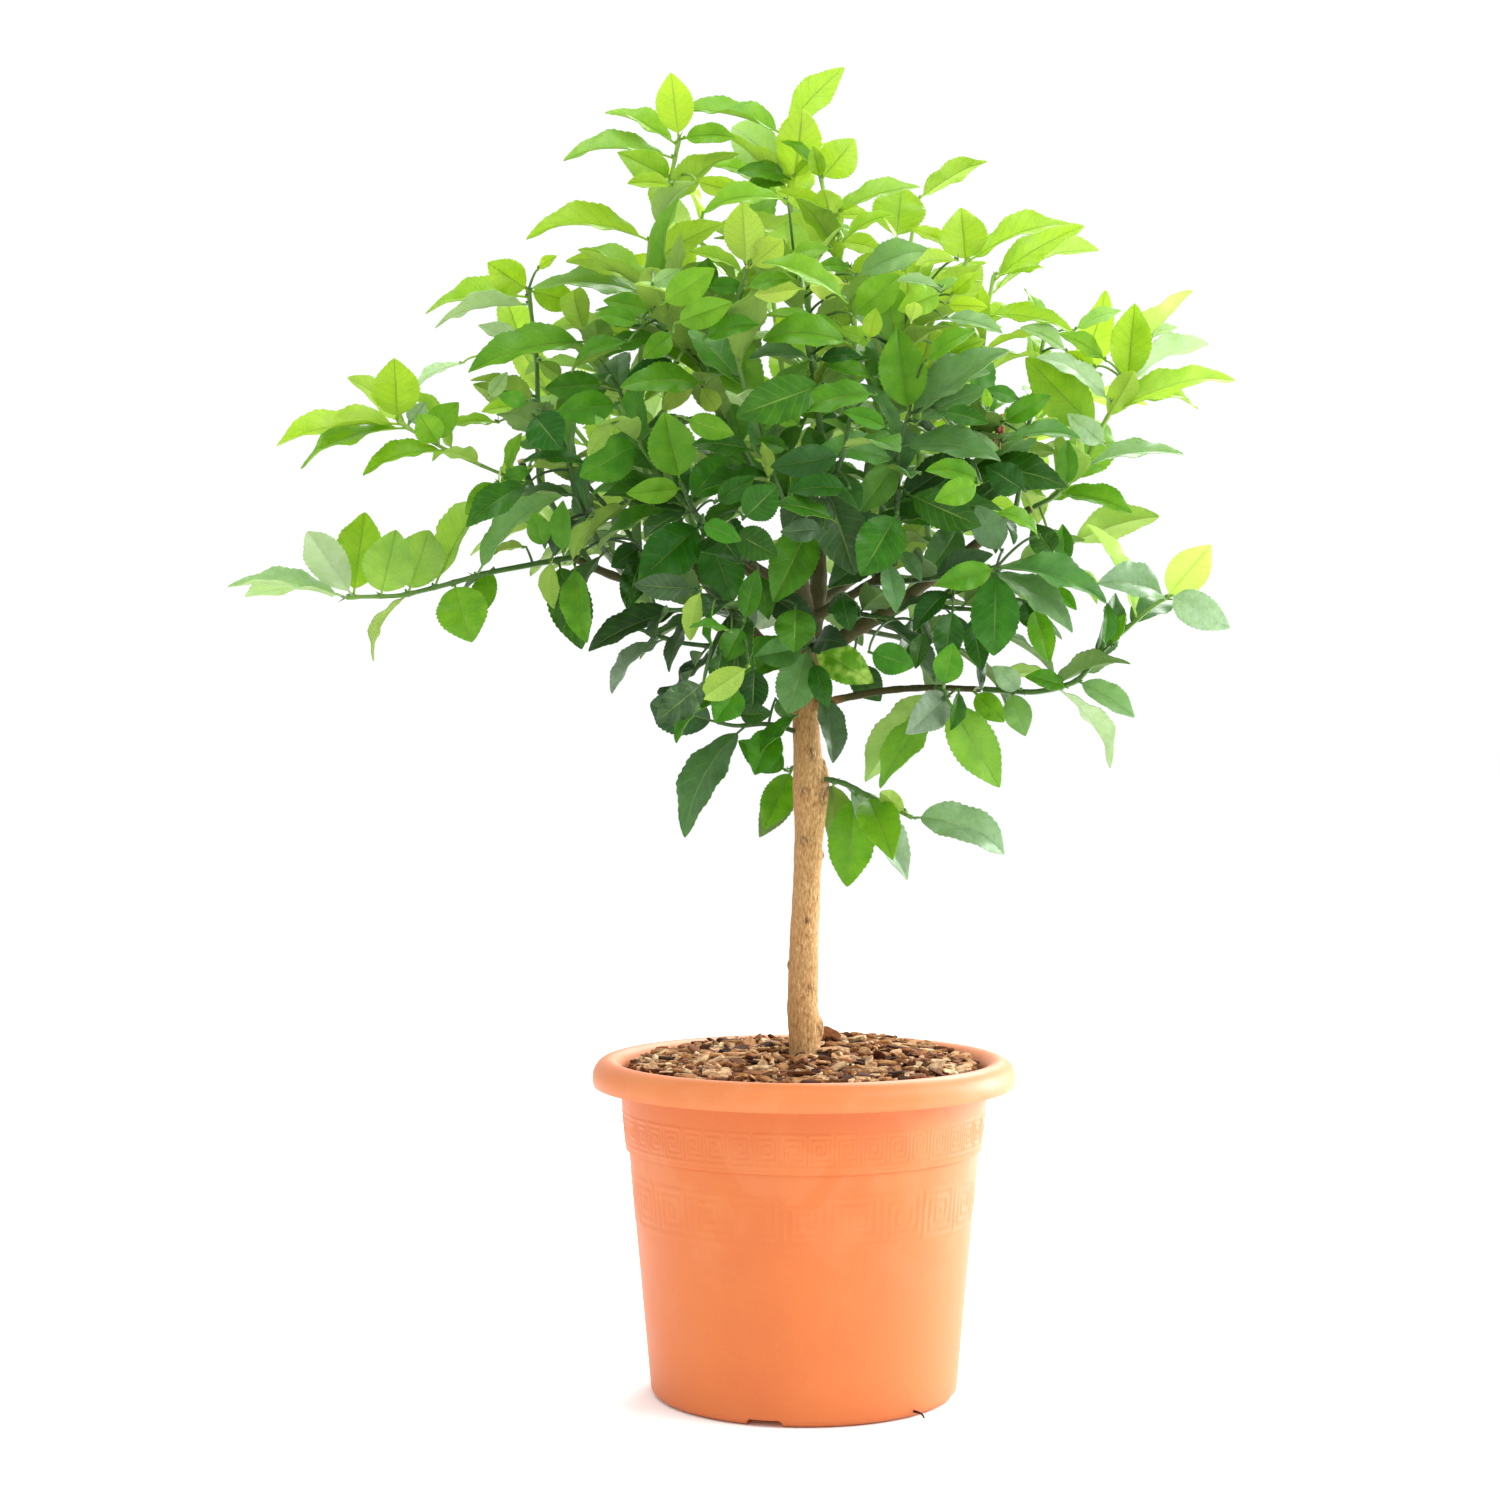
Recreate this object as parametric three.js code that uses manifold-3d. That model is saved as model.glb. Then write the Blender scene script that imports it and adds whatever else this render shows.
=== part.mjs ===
// A young lemon tree: a grafted stem with a broad leafy crown, in a terracotta-coloured plastic pot
// filled with compost and covered with bark mulch.
// Millimetres, +Z up, origin at the middle of the pot's foot. The front of the tree looks along -Y.

import * as THREE from 'three';
import { mergeVertices } from 'three/addons/utils/BufferGeometryUtils.js';
import Module from 'manifold-3d';

const wasm = await Module();
wasm.setup();

// ---- Driving dimensions ----

const CLEARANCE = 0.3; // between pieces that touch

const POT_HEIGHT = 285;
const RIM_RADIUS = 181; // outside of the rolled rim
const RIM_OPENING = 154; // inside of the rolled rim
const RIM_DEPTH = 22; // from the top of the rim to its lower edge
const BEAD_RISE = 16; // from the widest point of the rim to its top
const COLLAR_RADIUS = [157, 152.5]; // outside, under the rim and at the step
const COLLAR_BOTTOM = 210;
const STEP_DEPTH = 3; // the wall steps in under the collar
const FOOT_RADIUS = 131; // above the bevel of the foot
const FOOT_BEVEL = 7;
const WALL = 3.5;
const FLOOR_TOP = 9;
const CHANNEL = { count: 4, width: 30, depth: 5.5, inner: 45, firstAngle: -105.5 }; // degrees from +X
const DRAIN_HOLE = { radius: 6, distance: 86 };
const POT_SIDES = 36;

const SOIL_TOP = 262;
const MULCH_EDGE = 280; // top of the mulch at the rim
const MULCH_RISE = 12; // how much higher it stands at the stem
const CHIP = { count: 22, length: [30, 46], width: [16, 26], thickness: [5, 8] };
const STEM_HOLE = 15.6; // radius of the hole that the stem stands in
const STEM_FOOT = 190; // height of the stem's lower end, in the soil

const VIEW = new THREE.Vector3(-46, -2400, 585); // where the routes below are seen from

const TURN = THREE.MathUtils.degToRad(137.5); // from one leaf to the next round its stem
const LEAF_RATIO = 0.45; // width to length
const LEAF_GAP = 12; // between leaves of different shoots, at their sample points
const NEAR_GAP = 9; // between leaves of one shoot
const STEM_GAP = 5; // between a leaf and a stem it doesn't grow on
const CROWN_CENTRE = new THREE.Vector3(0, 0, 760);

const GREEN = { dark: 0x2c6b25, mid: 0x3f8a2c, light: 0x74ad2f };

// ---- Small helpers ----

// Repeatable numbers from 0 to 1
function dice(seed) {
  let state = seed >>> 0;
  return () => {
    state = (state + 0x6d2b79f5) >>> 0;
    let t = state;
    t = Math.imul(t ^ (t >>> 15), t | 1);
    t ^= t + Math.imul(t ^ (t >>> 7), t | 61);
    return ((t ^ (t >>> 14)) >>> 0) / 4294967296;
  };
}

const between = (low, high, share) => low + (high - low) * share;

function signedVolume(positions, index) {
  const corner = (i) => new THREE.Vector3().fromArray(positions, index[i] * 3);
  let volume = 0;
  for (let i = 0; i < index.length; i += 3) {
    volume += corner(i).dot(corner(i + 1).cross(corner(i + 2))) / 6;
  }
  return volume;
}

// A closed geometry as a solid, with its faces turned outwards
function solidOf(geometry) {
  const bare = geometry.clone();
  bare.deleteAttribute('normal');
  bare.deleteAttribute('uv');
  const merged = mergeVertices(bare, 1e-4);
  const positions = Float32Array.from(merged.attributes.position.array);
  const index = Uint32Array.from(merged.index.array);
  if (signedVolume(positions, index) < 0) {
    for (let i = 0; i < index.length; i += 3) {
      [index[i], index[i + 1]] = [index[i + 1], index[i]];
    }
  }
  return new wasm.Manifold(new wasm.Mesh({ numProp: 3, vertProperties: positions, triVerts: index }));
}

function geometryOf(solid) {
  const mesh = solid.getMesh();
  const geometry = new THREE.BufferGeometry();
  geometry.setAttribute('position', new THREE.BufferAttribute(mesh.vertProperties, 3));
  geometry.setIndex(new THREE.BufferAttribute(mesh.triVerts, 1));
  return geometry;
}

function geometryFrom(points, triangles) {
  const geometry = new THREE.BufferGeometry();
  geometry.setFromPoints(points);
  geometry.setIndex(triangles.flat());
  return geometry;
}

// A solid of revolution round +Z from closed [radius, height] points
function turned(profile, sides) {
  const points = [...profile, profile[0]].map(([radius, height]) => new THREE.Vector2(radius, height));
  return solidOf(new THREE.LatheGeometry(points, sides).rotateX(Math.PI / 2));
}

// ---- Pot ----

// Outside of the tapered wall under the collar
function wallRadius(height) {
  const share = (height - FOOT_BEVEL) / (COLLAR_BOTTOM - 4 - FOOT_BEVEL);
  return between(FOOT_RADIUS, COLLAR_RADIUS[1] - STEP_DEPTH, share);
}

function potProfile() {
  const rimBottom = POT_HEIGHT - RIM_DEPTH;
  const beadMiddle = [(RIM_RADIUS + RIM_OPENING) / 2, POT_HEIGHT - BEAD_RISE];
  const beadHalf = (RIM_RADIUS - RIM_OPENING) / 2;
  const bead = [];
  for (let step = 0; step <= 5; step += 1) {
    const angle = between(-0.12 * Math.PI, Math.PI, step / 5);
    bead.push([beadMiddle[0] + beadHalf * Math.cos(angle), beadMiddle[1] + BEAD_RISE * Math.sin(angle)]);
  }
  return [
    [0, 0],
    [FOOT_RADIUS - FOOT_BEVEL, 0],
    [FOOT_RADIUS, FOOT_BEVEL],
    [wallRadius(COLLAR_BOTTOM - 4), COLLAR_BOTTOM - 4],
    [COLLAR_RADIUS[1], COLLAR_BOTTOM],
    [COLLAR_RADIUS[0], rimBottom - 2],
    [COLLAR_RADIUS[0] + 3, rimBottom + 0.5],
    [RIM_RADIUS - 5, rimBottom],
    ...bead,
    [RIM_OPENING - 1, rimBottom - 6],
    [COLLAR_RADIUS[1] - WALL, COLLAR_BOTTOM - 3],
    [wallRadius(COLLAR_BOTTOM - 8) - WALL, COLLAR_BOTTOM - 8],
    [wallRadius(FLOOR_TOP) - WALL, FLOOR_TOP],
    [0, FLOOR_TOP],
  ];
}

// Open channels under the floor let water run out from the drain holes
function channelCutters() {
  const cutters = [];
  for (let index = 0; index < CHANNEL.count; index += 1) {
    const angle = THREE.MathUtils.degToRad(CHANNEL.firstAngle + (360 / CHANNEL.count) * index);
    const length = RIM_RADIUS - CHANNEL.inner;
    const channel = new THREE.BoxGeometry(length, CHANNEL.width, CHANNEL.depth * 2);
    channel.translate(CHANNEL.inner + length / 2, 0, 0).rotateZ(angle);
    const hole = new THREE.CylinderGeometry(DRAIN_HOLE.radius, DRAIN_HOLE.radius, FLOOR_TOP * 4, 10);
    hole.rotateX(Math.PI / 2).translate(DRAIN_HOLE.distance, 0, 0).rotateZ(angle);
    cutters.push(solidOf(channel), solidOf(hole));
  }
  return cutters;
}

function makePot() {
  return channelCutters().reduce((pot, cutter) => pot.subtract(cutter), turned(potProfile(), POT_SIDES));
}

// ---- Soil and mulch ----

function makeSoil() {
  const gap = CLEARANCE + 0.3;
  const side = (height) => wallRadius(height) - WALL - gap;
  return turned([
    [STEM_HOLE, FLOOR_TOP + 60],
    [0, FLOOR_TOP + 60],
    [0, FLOOR_TOP + CLEARANCE],
    [side(FLOOR_TOP) - 1, FLOOR_TOP + CLEARANCE],
    [side(COLLAR_BOTTOM - 8), COLLAR_BOTTOM - 8],
    [COLLAR_RADIUS[1] - WALL - gap, COLLAR_BOTTOM - 2],
    [RIM_OPENING - 2 - gap, SOIL_TOP - 12],
    [RIM_OPENING - 2 - gap, SOIL_TOP],
    [STEM_HOLE, SOIL_TOP],
  ], POT_SIDES / 2);
}

const mulchTop = (radius) => MULCH_EDGE + MULCH_RISE * (1 - radius / RIM_OPENING);

// The layer under the loose top chips: a ring with an uneven top
function mulchBed() {
  const random = dice(5);
  const rings = [18, 62, 108, RIM_OPENING - 1.4];
  const sides = 22;
  const points = [];
  const triangles = [];
  for (const radius of rings) {
    for (let side = 0; side < sides; side += 1) {
      const angle = (side / sides) * Math.PI * 2;
      const inner = radius < RIM_OPENING - 2;
      const height = mulchTop(radius) - 3 + (inner ? 5 : 1) * (random() - 0.5);
      points.push(new THREE.Vector3(radius * Math.cos(angle), radius * Math.sin(angle), height));
    }
  }
  for (const radius of [RIM_OPENING - 1.4, 18]) {
    for (let side = 0; side < sides; side += 1) {
      const angle = (side / sides) * Math.PI * 2;
      const height = SOIL_TOP + CLEARANCE;
      points.push(new THREE.Vector3(radius * Math.cos(angle), radius * Math.sin(angle), height));
    }
  }
  const loops = rings.length + 2;
  for (let loop = 0; loop < loops; loop += 1) {
    for (let side = 0; side < sides; side += 1) {
      const next = (side + 1) % sides;
      const above = ((loop + 1) % loops) * sides;
      const a = loop * sides + side;
      const b = loop * sides + next;
      triangles.push([a, above + side, b], [b, above + side, above + next]);
    }
  }
  return solidOf(geometryFrom(points, triangles));
}

// Flat chips of bark, laid by a sunflower rule and tipped at random, sunk into the layer
function barkChip(index) {
  const random = dice(100 + index);
  const size = [CHIP.length, CHIP.width, CHIP.thickness].map(([low, high]) => between(low, high, random()));
  const radius = between(34, RIM_OPENING - 27, Math.sqrt((index + 0.5) / CHIP.count));
  const angle = index * TURN;
  const chip = new THREE.BoxGeometry(...size);
  chip.rotateX(between(-0.3, 0.3, random())).rotateY(between(-0.22, 0.22, random()));
  chip.rotateZ(random() * Math.PI);
  chip.translate(radius * Math.cos(angle), radius * Math.sin(angle), mulchTop(radius) - 1);
  return solidOf(chip);
}

function makeMulch() {
  let mulch = mulchBed();
  for (let index = 0; index < CHIP.count; index += 1) {
    mulch = mulch.add(barkChip(index));
  }
  return mulch.subtract(sweep(TRUNK.map(trunkPoint), trunkGirth(CLEARANCE + 0.2), TRUNK_SIDES));
}

// ---- Stems ----

// A point in the tree, given by where it shows from the front in the plane of the stem, and its depth
function seen(x, z, depth) {
  const flat = new THREE.Vector3(x, 0, z);
  return flat.sub(VIEW).multiplyScalar((depth - VIEW.y) / -VIEW.y).add(VIEW);
}

// Where a point shows from the front, in the plane of the stem
function asSeen(point) {
  return point.clone().sub(VIEW).multiplyScalar(-VIEW.y / (point.y - VIEW.y)).add(VIEW);
}

// A closed tapering tube of flat sides along a route
function sweep(route, radii, sides) {
  const points = [];
  const triangles = [];
  let across = null;
  route.forEach((point, step) => {
    const before = route[Math.max(step - 1, 0)];
    const after = route[Math.min(step + 1, route.length - 1)];
    const along = after.clone().sub(before).normalize();
    const start = Math.abs(along.z) > 0.9 ? new THREE.Vector3(1, 0, 0) : new THREE.Vector3(0, 0, 1);
    across = (across ?? start).clone().addScaledVector(along, -(across ?? start).dot(along)).normalize();
    const other = along.clone().cross(across);
    for (let side = 0; side < sides; side += 1) {
      const angle = (side / sides) * Math.PI * 2;
      const offset = across.clone().multiplyScalar(Math.cos(angle)).addScaledVector(other, Math.sin(angle));
      points.push(point.clone().addScaledVector(offset, radii[step]));
    }
  });
  for (let step = 0; step + 1 < route.length; step += 1) {
    for (let side = 0; side < sides; side += 1) {
      const a = step * sides + side;
      const b = step * sides + ((side + 1) % sides);
      triangles.push([a, b, b + sides], [a, b + sides, a + sides]);
    }
  }
  const last = (route.length - 1) * sides;
  for (let side = 1; side + 1 < sides; side += 1) {
    triangles.push([0, side + 1, side], [last, last + side, last + side + 1]);
  }
  return solidOf(geometryFrom(points, triangles));
}

// Points every few millimetres along a route
function finely(route, step = 6) {
  const points = [];
  for (let index = 0; index + 1 < route.length; index += 1) {
    const count = Math.ceil(route[index].distanceTo(route[index + 1]) / step);
    for (let part = 0; part < count; part += 1) {
      points.push(route[index].clone().lerp(route[index + 1], part / count));
    }
  }
  points.push(route.at(-1).clone());
  return points;
}

function nearest(points, target, measure) {
  return points.reduce((best, point) => (measure(point, target) < measure(best, target) ? point : best));
}

const distance = (a, b) => a.distanceTo(b);
const seenDistance = (a, b) => asSeen(a).distanceTo(b);

// The stem as it shows: height, middle and radius
const TRUNK = [
  [STEM_FOOT, 1, 13.5], [283, 1, 13.5], [300, 1, 13.6], [313, 0.5, 14.8], [330, -1, 13.4],
  [390, 0.5, 12.6], [434, 2.8, 12], [477, 4.5, 12.6], [503, 6, 15], [522, 5.7, 15.6],
  [540, 3.5, 12.6], [580, 1.5, 11.4], [612, 0, 11.6], [640, 2, 10],
];
const TRUNK_SIDES = 9;
const trunkPoint = ([z, x]) => new THREE.Vector3(x, 0, z);
const trunkGirth = (extra) => TRUNK.map(([, , radius]) => radius + extra);

// Woody limbs: where they show from the front, their depth, and the radius at both ends
const LIMBS = {
  limb_left: { from: 'trunk', girth: [8, 4], route: [
    [0, 606, 0], [-22, 628, -4], [-40, 642, -8], [-60, 664, -14], [-85, 695, -20], [-128, 738, -28]] },
  limb_left_low: { from: 'limb_left', girth: [5, 3.6], route: [
    [-60, 664, -14], [-105, 682, -6], [-165, 697, 0], [-197, 713, -4]] },
  limb_leader: { from: 'trunk', girth: [9, 4.5], route: [
    [2, 620, 0], [9, 655, 4], [14, 700, 8], [8, 745, 10], [6, 790, 8], [14, 826, 4]] },
  limb_right: { from: 'trunk', girth: [7.5, 3.6], route: [
    [4, 618, 0], [35, 646, 8], [75, 668, 16], [112, 697, 22], [152, 728, 20], [195, 755, 14]] },
  limb_right_low: { from: 'trunk', girth: [3.8, 2.7], route: [
    [4, 584, 0], [30, 592, -12], [72, 600, -26], [112, 602, -36], [152, 600, -42]] },
  limb_back: { from: 'trunk', girth: [8, 4], route: [
    [2, 622, 4], [-6, 660, 42], [-16, 700, 92], [-8, 745, 130]] },
  limb_back_right: { from: 'limb_back', girth: [5.5, 3.6], route: [
    [-6, 660, 42], [36, 690, 82], [82, 722, 118]] },
  limb_back_left: { from: 'limb_back', girth: [5.5, 3.6], route: [
    [-12, 685, 74], [-58, 706, 108], [-104, 740, 134]] },
  limb_front: { from: 'trunk', girth: [6.5, 3.6], route: [
    [3, 626, -4], [6, 660, -48], [-2, 698, -92], [4, 738, -128]] },
  limb_front_right: { from: 'limb_front', girth: [5, 3.4], route: [
    [6, 660, -48], [40, 680, -78], [78, 704, -104]] },
  limb_front_left: { from: 'limb_front', girth: [5, 3.4], route: [
    [2, 680, -70], [-34, 700, -92], [-68, 724, -116]] },
};
const LIMB_SIDES = 5;

// ---- Leafy shoots ----

// from: what the shoot grows on. route: [x, z] where it shows from the front, and its depth.
// leaves: how many grow by the rule, size: their length, tone: their colour.
// set: leaves placed one by one, [base x, base z, tip x, tip z, width shown, face, arch in degrees],
// with face 1 where the leaf shows its upper side and -1 where it shows its back.
const SHOOTS = {
  crown_left: { from: 'limb_left', leaves: 3, size: 82, tone: 'light', route: [
    [-128, 738, -28], [-142, 820, -34], [-140, 880, -32], [-135, 950, -28], [-131, 990, -26],
    [-120, 1010, -24], [-107, 1072, -20]],
  set: [
    [-106, 1071, -114, 1129, 33, 1, 15], [-110, 1068, -168, 1100, 15, 1, 30],
    [-111, 1060, -207, 1065, 14, 1, 40], [-113, 1037, -158, 1060, 30, 1, 30],
    [-130, 993, -240, 1001, 20, 1, 50], [-120, 1008, -60, 1068, 22, -1, 35],
    [-136, 962, -70, 1003, 25, 1, 35], [-137, 955, -203, 975, 20, 1, 40],
    [-137, 948, -233, 952, 18, 1, 40], [-139, 905, -225, 916, 22, 1, 35]] },
  crown_top: { from: 'limb_leader', leaves: 4, size: 84, tone: 'light', route: [
    [14, 826, 4], [10, 860, 4], [8, 890, 2], [3, 935, 0], [-7, 990, 0], [-12, 1030, 0], [-16, 1080, 2]],
  set: [
    [-16, 1080, 33, 1135, 28, 1, 25], [-16, 1080, -105, 1102, 16, 1, 45],
    [-12, 1045, -62, 1082, 38, 1, 35]] },
  crown_mid_right: { from: 'limb_leader', leaves: 3, size: 80, tone: 'light', route: [
    [8, 780, 8], [34, 850, -28], [45, 905, -38], [33, 960, -40], [20, 1010, -36], [15, 1037, -34]],
  set: [
    [15, 1037, 44, 1072, 34, 1, 25], [20, 1010, -22, 1028, 20, 1, 25],
    [20, 1010, 98, 1036, 16, 1, 35], [28, 975, -70, 1005, 24, 1, 40]] },
  crown_mid_left: { from: 'limb_leader', leaves: 6, size: 82, tone: 'mid', route: [
    [8, 745, 10], [-36, 812, 26], [-56, 875, 30], [-50, 930, 28], [-46, 975, 26]], set: [] },
  crown_inner_left: { from: 'limb_leader', leaves: 6, size: 84, tone: 'mid', route: [
    [8, 735, 10], [-40, 785, -40], [-62, 820, -58], [-85, 875, -72], [-113, 915, -80], [-130, 942, -84]],
  set: [] },
  crown_inner_right: { from: 'limb_right', leaves: 5, size: 80, tone: 'mid', route: [
    [60, 661, 13], [67, 740, 2], [67, 800, -12], [65, 880, -20], [72, 935, -22], [79, 985, -22]],
  set: [[79, 983, 84, 1031, 46, 1, 20]] },
  crown_right: { from: 'limb_right', leaves: 4, size: 80, tone: 'light', route: [
    [112, 697, 22], [100, 780, 4], [96, 850, -8], [101, 900, -16], [118, 930, -20], [142, 970, -22]],
  set: [
    [140, 967, 135, 1013, 44, 1, 15], [142, 970, 228, 1008, 20, 1, 35],
    [110, 915, 58, 962, 26, 1, 40]] },
  crown_right_outer: { from: 'limb_right', leaves: 4, size: 76, tone: 'light', route: [
    [152, 728, 20], [152, 800, 34], [150, 870, 38], [156, 920, 36], [163, 955, 34]],
  set: [
    [163, 955, 238, 1001, 24, 1, 30], [163, 955, 206, 966, 14, 1, 30],
    [157, 925, 233, 912, 16, 1, 40], [160, 940, 247, 989, 12, -1, 30]] },
  crown_back: { from: 'limb_back', leaves: 8, size: 84, tone: 'light', route: [
    [-13, 718, 106], [-12, 820, 128], [-22, 900, 116], [-30, 965, 104], [-36, 1030, 92]], set: [] },
  crown_back_left: { from: 'limb_back_left', leaves: 8, size: 84, tone: 'light', route: [
    [-90, 731, 127], [-122, 810, 142], [-116, 880, 136], [-100, 950, 126], [-86, 1010, 118]], set: [] },
  crown_back_right: { from: 'limb_back_right', leaves: 6, size: 84, tone: 'light', route: [
    [62, 709, 104], [86, 800, 118], [80, 880, 108], [86, 950, 98], [98, 1020, 88]],
  set: [[98, 1020, 155, 1058, 20, -1, 25]] },

  left_upright: { from: 'limb_left_low', leaves: 4, size: 80, tone: 'mid', route: [
    [-180, 706, -3], [-227, 775, -14], [-228, 845, -18], [-229, 885, -20], [-236, 942, -22]],
  set: [
    [-236, 942, -271, 966, 32, 1, 25], [-236, 940, -327, 932, 20, 1, 35],
    [-235, 938, -320, 920, 14, -1, 30], [-236, 940, -194, 932, 26, 1, 25],
    [-229, 885, -277, 915, 16, -1, 25]] },
  left_mid: { from: 'crown_left', leaves: 3, size: 82, tone: 'mid', route: [
    [-140, 815, -34], [-160, 862, -50], [-187, 903, -56], [-205, 926, -58]],
  set: [[-187, 903, -290, 880, 28, 1, 35]] },
  left_spray: { from: 'left_upright', leaves: 2, size: 78, tone: 'light', route: [
    [-227, 768, -14], [-260, 785, -26], [-300, 802, -34], [-330, 818, -38], [-348, 830, -40]],
  set: [
    [-346, 829, -351, 884, 42, 1, 20], [-348, 830, -453, 817, 18, 1, 35],
    [-343, 826, -437, 801, 14, 1, 40], [-307, 805, -381, 792, 16, 1, 35],
    [-340, 824, -387, 871, 20, -1, 30], [-326, 816, -296, 846, 26, 1, 30],
    [-300, 802, -335, 862, 14, -1, 30]] },
  left_low_spray: { from: 'limb_left_low', leaves: 2, size: 78, tone: 'mid', route: [
    [-197, 713, -4], [-232, 707, -22], [-270, 700, -34], [-305, 690, -42], [-345, 680, -48],
    [-392, 679, -52]],
  set: [
    [-388, 680, -493, 697, 12, 1, 25], [-391, 679, -478, 686, 10, -1, 30],
    [-388, 680, -426, 736, 36, -1, 25], [-386, 680, -376, 752, 41, 1, 20],
    [-362, 680, -349, 737, 46, 1, 45], [-338, 681, -320, 738, 42, 1, 35],
    [-318, 688, -265, 775, 27, 1, 30], [-283, 697, -212, 778, 24, 1, 35],
    [-300, 691, -285, 640, 44, 1, 45], [-205, 711, -190, 634, 38, 1, 40]] },
  left_back: { from: 'limb_back_left', leaves: 8, size: 80, tone: 'light', route: [
    [-104, 740, 134], [-160, 778, 158], [-205, 835, 156], [-240, 880, 150]], set: [] },
  left_back_low: { from: 'limb_back_left', leaves: 7, size: 80, tone: 'mid', route: [
    [-74, 718, 119], [-134, 704, 140], [-200, 735, 148], [-262, 750, 144]], set: [] },
  left_inner: { from: 'limb_left', leaves: 6, size: 82, tone: 'dark', route: [
    [-85, 695, -20], [-118, 770, 30], [-150, 830, 62], [-178, 880, 80]], set: [] },
  left_front: { from: 'limb_front_left', leaves: 5, size: 84, tone: 'mid', route: [
    [-68, 724, -116], [-112, 770, -136], [-138, 806, -146], [-158, 845, -150]],
  set: [
    [-140, 810, -192, 782, 36, 1, 30], [-158, 845, -212, 838, 28, 1, 30]] },
  left_front_low: { from: 'limb_front_left', leaves: 2, size: 80, tone: 'dark', route: [
    [-45, 708, -99], [-74, 732, -134], [-88, 741, -148], [-106, 778, -160]],
  set: [
    [-105, 776, -120, 838, 42, 1, 20], [-88, 741, -142, 692, 45, 1, 30],
    [-82, 737, -60, 674, 40, 1, 35], [-104, 772, -152, 768, 22, 1, 30],
    [-98, 760, -66, 800, 30, 1, 30]] },

  right_spray: { from: 'limb_right', leaves: 4, size: 82, tone: 'light', route: [
    [195, 755, 14], [214, 764, 0], [240, 790, -14], [250, 815, -18], [262, 836, -20], [277, 862, -22]],
  set: [
    [277, 862, 284, 931, 38, 1, 15], [275, 860, 328, 945, 16, -1, 25],
    [252, 822, 190, 885, 42, 1, 30], [264, 840, 368, 877, 22, 1, 35],
    [273, 855, 341, 848, 16, 1, 30], [277, 862, 343, 902, 18, -1, 30],
    [243, 797, 326, 807, 14, 1, 40], [220, 768, 283, 756, 20, 1, 30]] },
  right_upper: { from: 'limb_right', leaves: 6, size: 82, tone: 'mid', route: [
    [180, 746, 16], [190, 800, 44], [196, 850, 60], [206, 900, 66]], set: [] },
  right_low_spray: { from: 'limb_right_low', leaves: 3, size: 76, tone: 'mid', route: [
    [152, 600, -42], [200, 597, -56], [235, 606, -62], [255, 632, -64], [272, 648, -66],
    [300, 672, -68], [315, 681, -70]],
  set: [
    [308, 678, 349, 724, 35, 1, 20], [288, 662, 249, 745, 14, 1, 25],
    [312, 680, 253, 692, 28, 1, 45], [315, 681, 366, 652, 30, 1, 80],
    [235, 606, 286, 577, 22, 1, 35], [224, 603, 272, 538, 14, -1, 40],
    [176, 599, 190, 560, 24, 1, 30]] },
  right_hanging: { from: 'limb_right_low', leaves: 1, size: 80, tone: 'mid', route: [
    [112, 602, -36], [124, 598, -62], [122, 592, -84]],
  set: [
    [122, 594, 168, 516, 40, 1, 25], [116, 598, 62, 518, 26, 1, 30],
    [113, 600, 50, 524, 34, -1, 30]] },
  right_front: { from: 'limb_front_right', leaves: 4, size: 84, tone: 'dark', route: [
    [78, 704, -104], [80, 760, -132], [80, 802, -144], [90, 836, -150]],
  set: [
    [90, 834, 80, 910, 42, 1, 20], [88, 830, 172, 897, 26, 1, 35],
    [84, 812, 170, 803, 24, 1, 50], [80, 795, 48, 752, 28, 1, 30],
    [80, 800, 10, 808, 24, 1, 30]] },
  right_front_low: { from: 'limb_front_right', leaves: 3, size: 80, tone: 'dark', route: [
    [56, 690, -89], [104, 694, -132], [142, 700, -152], [165, 704, -160]],
  set: [
    [163, 704, 113, 690, 24, 1, 30], [165, 704, 163, 627, 40, 1, 30],
    [165, 704, 263, 683, 22, 1, 40], [164, 704, 236, 655, 22, 1, 35]] },
  right_mid: { from: 'limb_right', leaves: 5, size: 84, tone: 'dark', route: [
    [130, 711, 21], [136, 760, -50], [140, 800, -84], [160, 850, -100]],
  set: [
    [139, 796, 228, 780, 28, 1, 30], [138, 778, 78, 745, 44, 1, 30]] },
  right_back: { from: 'limb_back_right', leaves: 8, size: 80, tone: 'light', route: [
    [82, 722, 118], [140, 762, 146], [190, 820, 148], [236, 866, 144]], set: [] },
  right_back_low: { from: 'limb_back_right', leaves: 7, size: 80, tone: 'mid', route: [
    [50, 700, 96], [112, 692, 136], [176, 706, 154], [232, 726, 156]], set: [] },

  front_low: { from: 'limb_front', leaves: 1, size: 74, tone: 'dark', route: [
    [5, 648, -36], [10, 640, -78], [2, 636, -104]],
  set: [
    [2, 636, -42, 628, 27, 1, 30], [4, 636, -14, 578, 36, 1, 30],
    [8, 638, 60, 606, 32, 1, 30], [10, 640, -94, 586, 36, 1, 30]] },
  front_mid: { from: 'limb_front', leaves: 3, size: 82, tone: 'dark', route: [
    [4, 738, -128], [18, 768, -166], [34, 800, -190], [40, 836, -204]],
  set: [
    [20, 770, 44, 698, 44, 1, 30], [4, 742, -26, 674, 40, 1, 30],
    [34, 800, -28, 790, 28, 1, 30]] },
  front_left_high: { from: 'limb_front', leaves: 8, size: 84, tone: 'mid', route: [
    [0, 720, -113], [-28, 790, -160], [-48, 850, -176], [-62, 905, -180]], set: [] },
  front_high: { from: 'limb_front', leaves: 8, size: 84, tone: 'mid', route: [
    [3, 730, -121], [16, 810, -120], [6, 880, -118], [-6, 945, -112]], set: [] },
  front_right_high: { from: 'limb_front_right', leaves: 8, size: 84, tone: 'mid', route: [
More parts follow.
